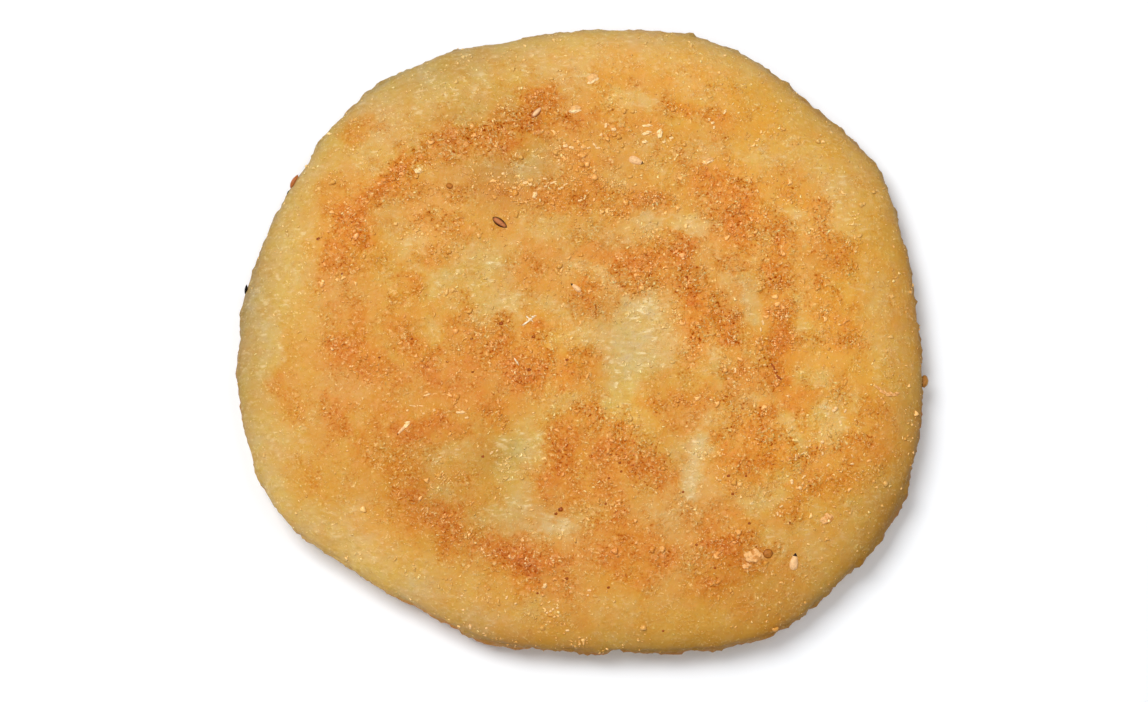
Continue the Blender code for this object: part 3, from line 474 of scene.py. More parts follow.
# How deep a grain's middle lies, as a share of its thickness.
FACE_SINK, RIM_SINK = 0.13, -0.32
# How finely a grain's ball is cut.
FINE_CUTS, COARSE_CUTS = 4, 2

# ---------------------------------------------------------------- colours

# Colours along the tone, from raw to brown.
TONES = (
    (0.00, srgb(219, 198, 144)),
    (0.20, srgb(218, 178, 102)),
    (0.42, srgb(218, 158, 70)),
    (0.62, srgb(219, 144, 53)),
    (0.82, srgb(216, 128, 41)),
    (1.00, srgb(194, 98, 25)),
)
BLACK, MILKY = srgb(0, 0, 0), srgb(242, 221, 172)
# Light added to the flecks: paler crust, partly painted glints.
FLECK_LIGHT = (0.40, 0.31, 0.14, 1.0)
# Light added to the threads: painted glints.
THREAD_PAINTED_GLINT = (0.44, 0.33, 0.20, 1.0)
LUMP_LIGHT = (0.17, 0.13, 0.08, 1.0)
# Multiplied into the crust: a stain for raw dough's gaps, then browning with painted shade for seams and
# pits.
GAP_STAIN = (0.91, 0.87, 0.74, 1.0)
SEAM_BROWNING_AND_SHADE = (0.88, 0.74, 0.50, 1.0)
PIT_BROWNING_AND_SHADE = (0.80, 0.53, 0.18, 1.0)
DEEP_BROWNING_AND_SHADE = (0.60, 0.39, 0.13, 1.0)
YELLOWED, PINKED = (1.0, 1.0, 0.76, 1.0), (1.0, 1.0, 1.28, 1.0)
OIL_IOR = 1.45


# ---------------------------------------------------------------- measures

def ease(low, high, value):
    """Go smoothly from 0 at low to 1 at high."""
    share = np.clip((value - low) / (high - low), 0.0, 1.0)
    return share * share * (3.0 - 2.0 * share)


def bell(away, width):
    """A soft bell: 1 in the middle, and next to nothing beyond twice its width."""
    return np.exp(-(away / width) ** 2)


def waves(points, length, seed):
    """Smooth noise of about -1 to 1 at each point, with waves of the given length."""
    shift = Vector((seed * 17.3, seed * -5.9, seed * 9.1))
    return np.array([noise.noise(Vector(point) / length + shift) for point in points])


def turn_between(angle, direction):
    """Degrees from a direction to each angle, between -180 and 180."""
    return (np.degrees(angle) - direction + 180.0) % 360.0 - 180.0


def on_marks(points):
    """X and Y of points, from the middle of the face's marks."""
    return points[:, 0] - FACE_SHIFT[0], points[:, 1] - FACE_SHIFT[1]


def ovals_at(x, y, ovals):
    """Height of a set of soft ovals at each point of the face."""
    total = np.zeros_like(x)
    for oval_x, oval_y, length, width, heading, height in ovals:
        cosine, sine = math.cos(math.radians(heading)), math.sin(math.radians(heading))
        along = (x - oval_x) * cosine + (y - oval_y) * sine
        across = (y - oval_y) * cosine - (x - oval_x) * sine
        total += height * np.exp(-(along / length) ** 2 - (across / width) ** 2)
    return total


# ---------------------------------------------------------------- form

def rim_radius(angle):
    """Distance from the middle to the rim, on a smooth closed curve through RIM_RADII."""
    radii = np.array(RIM_RADII)
    count = len(radii)
    place = np.mod(angle / (2.0 * math.pi), 1.0) * count
    index = np.floor(place).astype(int)
    t = place - index
    before, start, end, after = (radii[(index + step) % count] for step in (-1, 0, 1, 2))
    leave, arrive = (end - before) / 2.0, (after - start) / 2.0
    swing = t * t * (3.0 - 2.0 * t)
    return (start + (end - start) * swing + leave * t * (1.0 - t) ** 2
            - arrive * t * t * (1.0 - t))


def side_profile():
    """Half of the cross-section, from the face's middle over the rim to the foot's."""
    out = 1.0 - np.geomspace(1.0, PROFILE_END, PROFILE_STEPS)
    top = (1.0 - out ** SHOULDER_POWER) ** (1.0 / TURN_POWER)
    foot = (1.0 - out ** FOOT_POWER) ** (1.0 / TURN_POWER)
    reach = np.concatenate([out, out[::-1]])
    top_height = GIRTH_HEIGHT + (FACE_HEIGHT - GIRTH_HEIGHT) * top
    foot_height = np.maximum(GIRTH_HEIGHT - FOOT_DROP * foot, 0.0)
    return reach, np.concatenate([top_height, foot_height[::-1]])


def spread(share):
    """Straighten a share of area into a share of distance, from both middles."""
    near_face = np.sqrt(np.clip(share, 0.0, 0.5) / 2.0)
    near_foot = 1.0 - np.sqrt(np.clip(1.0 - share, 0.0, 0.5) / 2.0)
    return np.where(share < 0.5, near_face, near_foot)


def place_along(reach, height, shares):
    """How far along each point of the cross-section lies, as its area and shares make it."""
    face_share, rim_share, foot_share = shares
    run, rise = np.diff(reach) * MEAN_RADIUS, np.diff(height)
    step = np.hypot(run, rise)
    slope = np.abs(rise) / np.maximum(step, 1e-12)
    share = np.where(np.arange(len(step)) < len(step) // 2, face_share, foot_share)
    share = share + (rim_share - share) * ease(0.3, 0.9, slope)
    area = step * (reach[1:] + reach[:-1]) * share
    area = np.concatenate([[0.0], np.cumsum(area)])
    return spread(area / area[-1])


def lay_on_profile(cosine, shares):
    """Reach, height and outward normal of the cross-section for each polar cosine."""
    reach, height = side_profile()
    place = place_along(reach, height, shares)
    want = spread((1.0 - cosine) / 2.0)
    tangent_out, tangent_up = np.gradient(reach * MEAN_RADIUS), np.gradient(height)
    size = np.maximum(np.hypot(tangent_out, tangent_up), 1e-12)
    normal_out = np.interp(want, place, -tangent_up / size)
    normal_up = np.interp(want, place, tangent_out / size)
    size = np.hypot(normal_out, normal_up)
    return (np.interp(want, place, reach), np.interp(want, place, height),
            normal_out / size, normal_up / size)


def face_relief(points):
    """How far the face stands out: swells, browned ridges, pale hollows and pimples."""
    x, y = on_marks(points)
    return (SWELL * waves(points, SWELL_WAVE, 1)
            + ovals_at(x, y, RIDGES) - ovals_at(x, y, HOLLOWS)
            + LUMP * waves(points, LUMP_WAVE, 2)
            + PIMPLE * waves(points, PIMPLE_WAVE, 3))


def lip_at(angle):
    """How much of the browned lip there is in each direction."""
    return bell(turn_between(angle, LIP_ANGLE), LIP_WIDTH)


def rim_relief(points, angle, height):
    """How far the rim stands out: lumps, scallops, folds and the browned lip."""
    total = LUMP * waves(points, LUMP_WAVE, 2) + SCALLOP * waves(points, SCALLOP_WAVE, 4)
    for fold_angle, width, depth in RIM_FOLDS:
        total -= depth * bell(turn_between(angle, fold_angle), width)
    return total + LIP_REACH * lip_at(angle) * bell(height - LIP_HEIGHT, LIP_DEPTH)


Dough = namedtuple("Dough", "points normals angle reach height up on_face on_foot")


def shape_dough(directions, shares):
    """Carry points of a unit sphere to the surface of the pancake, in millimetres."""
    angle = np.arctan2(directions[:, 1], directions[:, 0])
    reach, height, normal_out, normal_up = lay_on_profile(directions[:, 2], shares)
    radius = rim_radius(angle) * reach
    points = np.stack([radius * np.cos(angle), radius * np.sin(angle), height], axis=1)
    normals = np.stack([normal_out * np.cos(angle), normal_out * np.sin(angle), normal_up], axis=1)
    on_face = ease(0.15, 0.75, normal_up)
    on_foot = ease(0.5, 0.95, -normal_up)
    relief = face_relief(points) * on_face
    relief += rim_relief(points, angle, height) * (1.0 - on_face) * (1.0 - on_foot)
    dent = np.maximum(waves(points, FOOT_DENT_WAVE, 5), 0.0)
    relief -= FOOT_DENT * dent * ease(FLAT_FOOT, 0.9, reach) * on_foot
    points = points + normals * relief[:, None]
    return Dough(points, normals, angle, reach, height, normal_up, on_face, on_foot)


def cube_sphere(rows):
    """A cube of even squares, swollen to a unit sphere."""
    ball = bmesh.new()
    bmesh.ops.create_cube(ball, size=2.0)
    bmesh.ops.subdivide_edges(ball, edges=ball.edges[:], cuts=rows - 1, use_grid_fill=True)
    for vertex in ball.verts:
        vertex.co = Vector([math.tan(value * math.pi / 4.0) for value in vertex.co]).normalized()
    return ball


def directions_of(ball):
    """The unit vectors of a sphere's vertices."""
    return np.array([vertex.co for vertex in ball.verts])


def solid_middle():
    """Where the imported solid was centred, found as it was: on its own coarser mesh."""
    ball = cube_sphere(SOLID_GRID)
    points = shape_dough(directions_of(ball), SOLID_SHARES).points
    ball.free()
    return (points.max(axis=0) + points.min(axis=0)) / 2.0


# ---------------------------------------------------------------- browning

def strokes_at(x, y, strokes):
    """The strongest brush stroke at each point, with soft edges."""
    strongest = np.zeros_like(x)
    for width, strength, *route in strokes:
        nearest = np.full_like(x, np.inf)
        for (x0, y0), (x1, y1) in zip(route, route[1:]):
            run_x, run_y = x1 - x0, y1 - y0
            share = ((x - x0) * run_x + (y - y0) * run_y) / (run_x * run_x + run_y * run_y)
            share = np.clip(share, 0.0, 1.0)
            nearest = np.minimum(nearest, np.hypot(x - x0 - share * run_x, y - y0 - share * run_y))
        away = nearest / (width * STROKE_SPREAD)
        strongest = np.maximum(strongest, strength / (1.0 + away ** 4))
    return strongest


def wander(points):
    """Points of the face, shifted so that the strokes' edges are ragged."""
    x, y = on_marks(points)
    for number, (reach, wave) in enumerate(WANDER):
        x += reach * waves(points, wave, 11 + 2 * number)
        y += reach * waves(points, wave, 12 + 2 * number)
    return x, y


def ring_field(points, browned):
    """Rings of burst bubbles, placed by a seeded draw where the crust is browned."""
    draw = np.random.default_rng(RING_SEED)
    field = np.zeros(len(points))
    spots = np.flatnonzero(browned > RING_BROWNED)
    for spot in draw.choice(spots, RING_COUNT, replace=False):
        radius = draw.uniform(*RING_RADIUS)
        away = np.linalg.norm(points - points[spot], axis=1)
        field = np.maximum(field, bell(away - radius, RING_WALL))
    return field * ease(0.2, 0.5, browned)


def rim_darkness(angle):
    """From -1 where the rim is palest to 1 where it is darkest."""
    return np.cos(angle - math.radians(RIM_DARKEST))


def face_tone(browned, pale, patchy):
    """Browning of the face, by its strokes and small patches."""
    tone = FACE_TONE + FACE_BROWNING * browned * (1.0 - 0.5 * pale) - FACE_PALING * pale
    return tone + FACE_PATCHES * patchy


def rim_tone(dough, browned, pale, patchy):
    """Tone of the rim: browner on one side and on the side wall, partly browning, partly painted shade."""
    # Browner on one side: partly browning, partly painted shade on the side away from the key light.
    tone = RIM_TONE + RIM_PATCHES * patchy + RIM_DARK_SWING * rim_darkness(dough.angle)
    tone = tone + RIM_BROWNING * browned - RIM_PALING * pale
    # Browner on the steep side wall: partly frying, partly painted shade along the outline.
    uneven = 1.0 + 1.5 * waves(dough.points, EDGE_WAVE, 71)
    return tone + EDGE_TONE * ease(0.34, 0.0, dough.up) * uneven


def foot_tone(dough, patchy):
    """Browning of the foot: blotchy, and pale at its edge."""
    tone = FOOT_TONE + FOOT_BLOTCH * waves(dough.points, FOOT_BLOTCH_WAVE, 31)
    tone = tone + FOOT_PATCHES * patchy
    return FOOT_EDGE + (tone - FOOT_EDGE) * ease(1.0, 0.84, dough.reach)


def tone_of(dough):
    """Browning of the crust, how browned the face is, and where it met the pan."""
    x, y = wander(dough.points)
    browned, pale = strokes_at(x, y, BROWNED), strokes_at(x, y, PALE)
    coarse, fine = PATCH_WAVES
    patchy = waves(dough.points, coarse, 21) + 0.6 * waves(dough.points, fine, 22)
    on_plate = ease(1.0, 0.80, dough.reach) * dough.on_face
    rim, foot = rim_tone(dough, browned, pale, patchy), foot_tone(dough, patchy)
    top = rim + (face_tone(browned, pale, patchy) - rim) * on_plate
    lip = lip_at(dough.angle) * ease(3.6, 2.0, dough.height) * (1.0 - dough.on_foot)
    tone = top + (foot - top) * dough.on_foot + LIP_TONE * lip
    return np.clip(tone, 0.0, 1.0), browned * on_plate, on_plate


def blush_of(dough):
    """Whether the crust's colour leans to pink, 1, or to yellow, 0, at each point."""
    placed = BLUSH * ovals_at(*on_marks(dough.points), BLUSHES)
    return 0.5 + placed + 0.5 * waves(dough.points, BLUSH_WAVE, 61)


def grit_of(dough):
    """How grainy the crust is: most towards the upper right, waxy at the lower left."""
    heading = math.radians(GRIT_HEADING)
    along = dough.points[:, 0] * math.cos(heading) + dough.points[:, 1] * math.sin(heading)
    return GRIT_LEAST + (GRIT_MOST - GRIT_LEAST) * ease(*GRIT_REACH, along)


def shade_and_stain_of(dough):
    """How dark the crust is made: painted shade on the steep rim, save on its clear side, and by place."""
    steep = np.clip((1.0 - dough.up) / 0.5, 0.0, 1.0) ** 0.7
    clear = bell(turn_between(dough.angle, CLEAR_ANGLE), CLEAR_WIDTH)
    # Painted shade on the steep side of the rim.
    rim = RIM_PAINTED_SHADE * steep * (1.0 - clear) * (1.0 - dough.on_foot)
    # Darker or lighter patches: partly wet dough, partly painted light and shade.
    placed = ovals_at(*on_marks(dough.points), SHADES) * ease(-0.2, 0.2, dough.up)
    return np.clip(rim + (SHADE + placed), 0.0, MOST_SHADE_AND_STAIN)


def fry(dough):
    """The dough's marks: one number for each of its points, by name."""
    tone, browned, plate = tone_of(dough)
    return {"tone": tone, "browned": browned, "plate": plate,
            "ring": ring_field(dough.points, browned), "stain": shade_and_stain_of(dough),
            "gritty": grit_of(dough), "blush": blush_of(dough)}


# ---------------------------------------------------------------- shader helpers

class Value:
    """A shader's number or colour; numbers add, subtract and multiply like plain ones."""

    def __init__(self, socket):
        self.socket, self.tree = socket, socket.id_data

    def calc(self, operation, first, second=0.0):
        """A Math node's result."""
        return node(self.tree, "Math", {0: first, 1: second}, operation=operation)

    def __add__(self, other):
        return self.calc("ADD", self, other)

    def __sub__(self, other):
        return self.calc("SUBTRACT", self, other)

    def __rsub__(self, other):
        return self.calc("SUBTRACT", other, self)

    def __mul__(self, other):
        return self.calc("MULTIPLY", self, other)

    def __abs__(self):
        return self.calc("ABSOLUTE", self)


def set_inputs(made, inputs):
    """Link or set a node's inputs."""
    for key, value in inputs.items():
        if isinstance(value, Value):
            value.tree.links.new(value.socket, made.inputs[key])
        else:
            made.inputs[key].default_value = value


def add_node(tree, kind, inputs, **settings):
    """Add a shader node of a kind, set its properties, and link or set its inputs."""
    made = tree.nodes.new("ShaderNode" + kind)
    for name, value in settings.items():
        setattr(made, name, value)
    set_inputs(made, inputs)
    return made


def node(tree, kind, inputs, output=0, **settings):
    """Add a node and take one of its outputs."""
    return Value(add_node(tree, kind, inputs, **settings).outputs[output])


def millimetres(tree):
    """The object's own coordinates, in millimetres."""
    place = node(tree, "TexCoord", {}, "Object")
    return node(tree, "VectorMath", {0: place, "Scale": 1.0 / MM}, operation="SCALE")


def grain(place, wave, detail=2.0):
    """Noise of -0.5 to 0.5 with waves of the given length in millimetres."""
    inputs = {"Vector": place, "Scale": 1.0 / wave, "Detail": detail}
    return node(place.tree, "TexNoise", inputs, "Fac") - 0.5


def ruffle(place, wave, reach):
    """A place pushed about by noise, so that round shapes come out uneven."""
    push = node(place.tree, "TexNoise", {"Vector": place, "Scale": 1.0 / wave}, "Color")
    push = node(place.tree, "VectorMath", {0: push, 1: (0.5, 0.5, 0.5)}, operation="SUBTRACT")
    return node(place.tree, "VectorMath", {0: push, 1: (reach, reach, reach), 2: place},
                operation="MULTIPLY_ADD")


def cells(place, wave):
    """Uneven cells: how far a place is from its cell's middle, and two draws for the cell."""
    made = add_node(place.tree, "TexVoronoi", {"Vector": place, "Scale": 1.0 / wave})
    draw = add_node(place.tree, "SeparateColor", {"Color": Value(made.outputs["Color"])})
    return Value(made.outputs["Distance"]), Value(draw.outputs["Green"]), Value(draw.outputs["Blue"])


def fibres(place, wave, stretch, heading):
    """Noise of -0.5 to 0.5 drawn out along a heading in the plane of the face."""
    turned = node(place.tree, "Mapping", {"Vector": place, "Scale": (1.0 / stretch, 1.0, 1.0),
                                          "Rotation": (0.0, 0.0, -math.radians(heading))})
    return grain(turned, wave, 3.0)


def attribute(tree, name):
    """A number stored on the mesh's points."""
    return node(tree, "Attribute", {}, "Fac", attribute_name=name)


def soft_step(value, low, high):
    """Go from 0 to 1 as a value passes from low to high."""
    return node(value.tree, "MapRange", {"Value": value, "From Min": low, "From Max": high},
                interpolation_type="SMOOTHSTEP")


def ramp(value, stops):
    """Colours along a value, as (place, colour) stops."""
    made = add_node(value.tree, "ValToRGB", {"Fac": value})
    elements = made.color_ramp.elements
    while len(elements) < len(stops):
        elements.new(0.5)
    for element, (place, color) in zip(elements, stops):
        element.position, element.color = place, color
    return Value(made.outputs["Color"])


# The Mix node has a pair of inputs and an output for each kind of data; these are for colours.
COLOR_A, COLOR_B, COLOR_RESULT = 6, 7, 2


def blend(share, first, second, way="MIX"):
    """Mix two colours; only a mix that adds light has to be held below white."""
    tree = (first if isinstance(first, Value) else share).tree
    return node(tree, "Mix", {0: share, COLOR_A: first, COLOR_B: second}, COLOR_RESULT,
                data_type="RGBA", blend_type=way, clamp_result=way == "ADD")


def bump_of(height, distance):
    """A surface normal, tilted by a height."""
    return node(height.tree, "Bump", {"Height": height, "Distance": distance})


def new_material(name):
    """An empty Principled material: its tree and its shader."""
    material = bpy.data.materials.new(name)
    material.use_nodes = True
    return material, material.node_tree, material.node_tree.nodes["Principled BSDF"]


# ---------------------------------------------------------------- materials

# Wave lengths of the crust's patterns.
MOTTLE_WAVE, CLOD_WAVE, GRIT_WAVE, CROWD_WAVE = 2.0, 1.1, 0.37, 3.0
STRAND_WAVE, STRAND_STRETCH, STRAND_HEADING = 0.55, 2.5, 55
LUMP_CELL, THREAD_WAVE, TINT_WAVE = 0.9, 0.65, 1.4
# How the places of grit and lumps are pushed about: wave and reach.
GRIT_RUFFLE, LUMP_RUFFLE = (0.9, 0.9), (0.5, 0.6)

# Where each pattern begins to show and where it is full, on the noise that it comes from.
RAW_STEP, CRUST_STEP, HEAP_STEP = (0.50, 0.12), (-0.11, 0.38), (0.04, 0.17)
LUMP_STEP, LUCK_STEP, SEAM_STEP = (0.62, 0.10), (0.2, 0.5), (0.45, 0.70)
THREAD_STEP, THREAD_GRIT_STEP = (0.040, 0.005), (-0.02, 0.10)
PIT_STEP, DEEP_STEP, FLECK_STEP = (-0.06, -0.18), (-0.12, -0.21), (0.09, 0.19)
MILK_STEP, GAP_STEP, MILK_PATCH_STEP = (0.02, 0.16), (-0.04, -0.16), (-0.12, 0.12)
MARK_STEP = (0.25, 0.75)
# The fine noise on bubbles and on grains.
BUBBLE_GRAIN, SEED_GRAIN, FINE_HEIGHT = 0.3, 0.35, 0.12

# Painted shade and light: the crust is browner in the dips of the grit and clods, paler on their tops.
GRIT_SHADE, CLOD_SHADE = 0.38, 0.16
MILK_STRENGTH = 0.66
# Heights of the patterns in the relief.
MOTTLE_HEIGHT, LUMP_HEIGHT, FLECK_HEIGHT, THREAD_HEIGHT = 0.20, 0.10, 0.08, 0.05


def add_crust(look, place):
    """Where the fried crust is thick and grainy, and where it heaps up."""
    look.crowd = look.browned * 0.26 + grain(place, CROWD_WAVE, 3.0)
    crust = soft_step(look.crowd, *CRUST_STEP) * (look.plate * 0.6 + 0.4)
    look.crust = crust * look.gritty * (look.fried * 0.65 + 0.35)
    look.heaped = soft_step(look.crust * 0.05 + look.clod, *HEAP_STEP)


def add_lumps(look, place):
    """Lumps, the seams between them with painted shade, and bright threads of painted glints."""
    away, luck, look.tint = cells(ruffle(place, *LUMP_RUFFLE), LUMP_CELL)
    lump = soft_step(away, *LUMP_STEP) * soft_step(luck, *LUCK_STEP)
    look.lump = lump * (look.crust * 0.75 + 0.25)
    look.seam = soft_step(away, *SEAM_STEP) * look.crust
    line = soft_step(abs(grain(place, THREAD_WAVE, 1.0)), *THREAD_STEP)
    look.thread = line * soft_step(look.grit, *THREAD_GRIT_STEP) * look.crust


def add_pits(look):
    """Pits in the grit with painted shade, and light flecks on top of it, partly painted glints."""
    look.pits = soft_step(look.grit, *PIT_STEP) * look.fried * (look.crust * 0.85 + 0.06)
    look.deep = soft_step(look.grit, *DEEP_STEP) * look.fried * look.crust
    fleck = soft_step(look.crowd * 0.10 + look.grit, *FLECK_STEP)
    look.fleck = fleck * (look.heaped * 0.5 + 0.46) * (look.plate * 0.35 + 0.65)


def crust_patterns(tree, marks):
    """The marks of the mesh and the patterns that the crust's colour and relief share."""
    look = SimpleNamespace(**{name: attribute(tree, name) for name in marks})
    place = millimetres(tree)
    look.mottle, look.clod = grain(place, MOTTLE_WAVE, 3.0), grain(place, CLOD_WAVE, 4.0)
    look.grit = grain(ruffle(place, *GRIT_RUFFLE), GRIT_WAVE)
    look.strand = fibres(place, STRAND_WAVE, STRAND_STRETCH, STRAND_HEADING)
    look.blush = grain(place, TINT_WAVE) * 1.6 + look.blush
    look.raw = soft_step(look.tone, *RAW_STEP)
    look.fried = 1.0 - look.raw
    add_crust(look, place)
    add_lumps(look, place)
    add_pits(look)
    return look


def fried_color(look):
    """The crust's tone as a colour, with painted shade in the grit's dips, darkened and tinted."""
    tone = look.mottle * 0.12 + look.tone
    # Painted shade in the dips of the grit and the clods, and painted light on their tops.
    for coarse, share in ((look.grit, GRIT_SHADE), (look.clod, CLOD_SHADE)):
        tone = tone - coarse * (look.crust * share + 0.4 * share)
    color = ramp(look.ring * 0.10 + tone, TONES)
    # Darkened towards black: painted shade on the steep rim, and darker or lighter patches by place.
    color = blend(look.stain, color, BLACK)
    return blend(1.0, color, blend(look.blush, YELLOWED, PINKED), "MULTIPLY")


def crust_color(look):
    """The crust's colour with milky strands, gaps, painted shade in seams and pits, and light spots."""
    patch = soft_step(look.mottle, *MILK_PATCH_STEP) * (look.plate * 0.65 + 0.35)
    milk = soft_step(look.strand, *MILK_STEP) * look.raw * patch
    color = blend(milk * MILK_STRENGTH, fried_color(look), MILKY)
    gap = soft_step(look.strand, *GAP_STEP) * look.raw
    # Multiplied in: a stain in the raw dough's gaps, and browning with painted shade in seams and pits.
    for share, stain in ((gap, GAP_STAIN), (look.seam * look.fried, SEAM_BROWNING_AND_SHADE),
                         (look.pits, PIT_BROWNING_AND_SHADE), (look.deep, DEEP_BROWNING_AND_SHADE)):
        color = blend(share, color, stain, "MULTIPLY")
    # Lighter lumps, light flecks that are partly painted glints, and threads that are painted glints.
    for share, light in ((look.lump * look.tint, LUMP_LIGHT), (look.fleck, FLECK_LIGHT),
                         (look.thread, THREAD_PAINTED_GLINT)):
        color = blend(share, color, light, "ADD")
    return color


def crust_height(look):
    """The relief that is too fine for the mesh, in millimetres."""
    height = look.grit * (look.crust * 0.30 + 0.05) + look.clod * (look.crust * 0.14 + 0.07)
    height = height + look.mottle * MOTTLE_HEIGHT + look.lump * LUMP_HEIGHT
    return height + look.fleck * FLECK_HEIGHT + look.thread * THREAD_HEIGHT


def crust_material(marks):
    """Rice dough fried in oil: cream to brown, grainy where it browned, with tiny bubbles."""
    material, tree, shader = new_material("crust")
    look = crust_patterns(tree, marks)
    bump = bump_of(crust_height(look), MM)
    dry = 1.0 - look.pits
    set_inputs(shader, {
        "Base Color": crust_color(look), "Normal": bump, "Coat Normal": bump,
        "Roughness": look.mottle * 0.2 + 0.5, "Specular IOR Level": dry * 0.06,
        "Coat Weight": look.fleck * 0.6 + dry * 0.08, "Coat Roughness": 0.14,
        "Coat IOR": OIL_IOR, "Subsurface Weight": 0.12, "Subsurface Scale": 0.8 * MM,
        "Subsurface Radius": (1.0, 0.55, 0.25)})
    return material


def bubble_material(name, light):
    """Bubbles or crumbs of the crust: a little to much lighter than around them, partly painted glints."""
    material, tree, shader = new_material(name)
    fine = grain(millimetres(tree), BUBBLE_GRAIN, 3.0)
    tone, lift = fine * 0.4 + attribute(tree, "tone"), fine * 0.8 + attribute(tree, "lift")
    bump = bump_of(fine, FINE_HEIGHT * MM)
    # Added light: paler crumbs, partly painted glints.
    set_inputs(shader, {
        "Base Color": blend(lift, ramp(tone, TONES), light, "ADD"), "Normal": bump,
        "Coat Normal": bump, "Roughness": 0.5, "Specular IOR Level": 0.06, "Coat Weight": 0.6,
        "Coat Roughness": 0.10, "Coat IOR": OIL_IOR})
    return material


def grain_material(name, body, marked):
    """A baked grain: one colour for its body and one where it is marked, finely mottled."""
    material, tree, shader = new_material(name)
    fine = grain(millimetres(tree), SEED_GRAIN, 3.0)
    mark = fine * 0.5 + attribute(tree, "mark")
    color = blend(soft_step(mark, *MARK_STEP), body, marked)
    color = node(tree, "VectorMath", {0: color, "Scale": fine + 1.0}, operation="SCALE")
    bump = bump_of(fine, FINE_HEIGHT * MM)
    set_inputs(shader, {
        "Base Color": color, "Normal": bump, "Coat Normal": bump, "Roughness": fine * 0.3 + 0.5,
        "Specular IOR Level": 0.12, "Coat Weight": 0.12, "Coat Roughness": 0.18})
    return material


# ---------------------------------------------------------------- pieces

def dress(piece):
    """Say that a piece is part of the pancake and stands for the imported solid."""
    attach(piece, BODY)
    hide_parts(NODE)
    return piece


def new_object(name, mesh, material):
    """Put a mesh into the scene under a name, smoothly shaded."""
    mesh.materials.append(material)
    mesh.shade_smooth()
    made = bpy.data.objects.new(name, mesh)
    bpy.context.scene.collection.objects.link(made)
    return made


def store(mesh, name, values):
    """Keep one number for each point of a mesh."""
    layer = mesh.attributes.new(name, "FLOAT", "POINT")
    layer.data.foreach_set("value", values.astype(np.float32))


def rough_waves(points, wave, seed):
    """Waves of the given length with finer ones on them."""
    return waves(points, wave, seed) + 0.5 * waves(points, wave / 2.0, seed + 1)


def roughen(dough, marks, middle):
    """The dough with the crust's fine relief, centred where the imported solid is."""
    points = dough.points
    bump = PALE_BUMP + (CRUST_BUMP - PALE_BUMP) * marks["browned"]
    relief = rough_waves(points, CRUST_WAVE, 41) * bump * dough.on_face
    knob = RIM_KNOB + RIM_KNOB_SWING * rim_darkness(dough.angle)
    rough = RIM_BUMP * rough_waves(points, RIM_WAVE, 43)
    rough = rough + knob * (np.abs(waves(points, RIM_KNOB_WAVE, 45)) - 0.2)
    relief += rough * ease(1.0, 0.5, dough.on_face) * (1.0 - dough.on_foot)
    relief += RING_HEIGHT * marks["ring"]
    points = points + dough.normals * relief[:, None]
    points[:, :2] -= middle[:2]
    points[:, 2] = np.maximum(points[:, 2], 0.0)
    return dough._replace(points=points)


def make_dough(ball, dough, marks):
    """The dough, with its fine crust."""
    for vertex, point in zip(ball.verts, dough.points):
        vertex.co = Vector(point) * MM
    mesh = bpy.data.meshes.new("dough")
    ball.to_mesh(mesh)
    for name, values in marks.items():
        store(mesh, name, values)
    return dress(new_object("dough", mesh, crust_material(marks)))


def bubble_shares(dough, marks, middle):
    """How likely each point of the dough is to carry a bubble."""
    crowds = ovals_at(*on_marks(dough.points + middle), CROWDS)
    crowd = BUBBLE_BASE + BUBBLE_BROWNED * marks["browned"] + crowds
    patchy = waves(dough.points, 3.2, 51) + waves(dough.points, 1.2, 52)
    share = crowd * np.exp(BUBBLE_CROWDING * patchy) * (1.0 - dough.on_foot)
    share *= BUBBLE_RIM + (1.0 - BUBBLE_RIM) * dough.on_face
    share *= marks["gritty"] ** BUBBLE_GRIT_POWER
    return share / share.sum()


def unit_ball(cuts):
    """The points and triangles of a ball of radius 1."""
    ball = bmesh.new()
    bmesh.ops.create_icosphere(ball, subdivisions=cuts, radius=1.0)
    shell = directions_of(ball)
    faces = np.array([[vertex.index for vertex in face.verts] for face in ball.faces])
    ball.free()
    return shell, faces


def lumpy_balls(kind, shell, draw):
    """The points of all the bubbles of a kind, each round its own middle, long way first."""
    count = kind.count
    low, high = kind.length
    length = low + (high - low) * draw.random(count) ** kind.power
    width = np.maximum(length / draw.uniform(*kind.stretch, count), kind.thinnest)
    half = np.stack([length, width, BUBBLE_FLATNESS * width], axis=1)[:, None, :] / 2.0
    seeds = draw.uniform(0.0, 50.0, (count, 1, 3))
    lump = waves((shell * 0.9 + seeds).reshape(-1, 3), 1.0, 53).reshape(count, -1, 1)
    local = shell * half * (1.0 + BUBBLE_LUMP * lump)
    bend = draw.uniform(-BUBBLE_BEND, BUBBLE_BEND, (count, 1)) * length[:, None]
    local[:, :, 1] += bend * (shell[:, 0] ** 2 - 0.5)
    return local


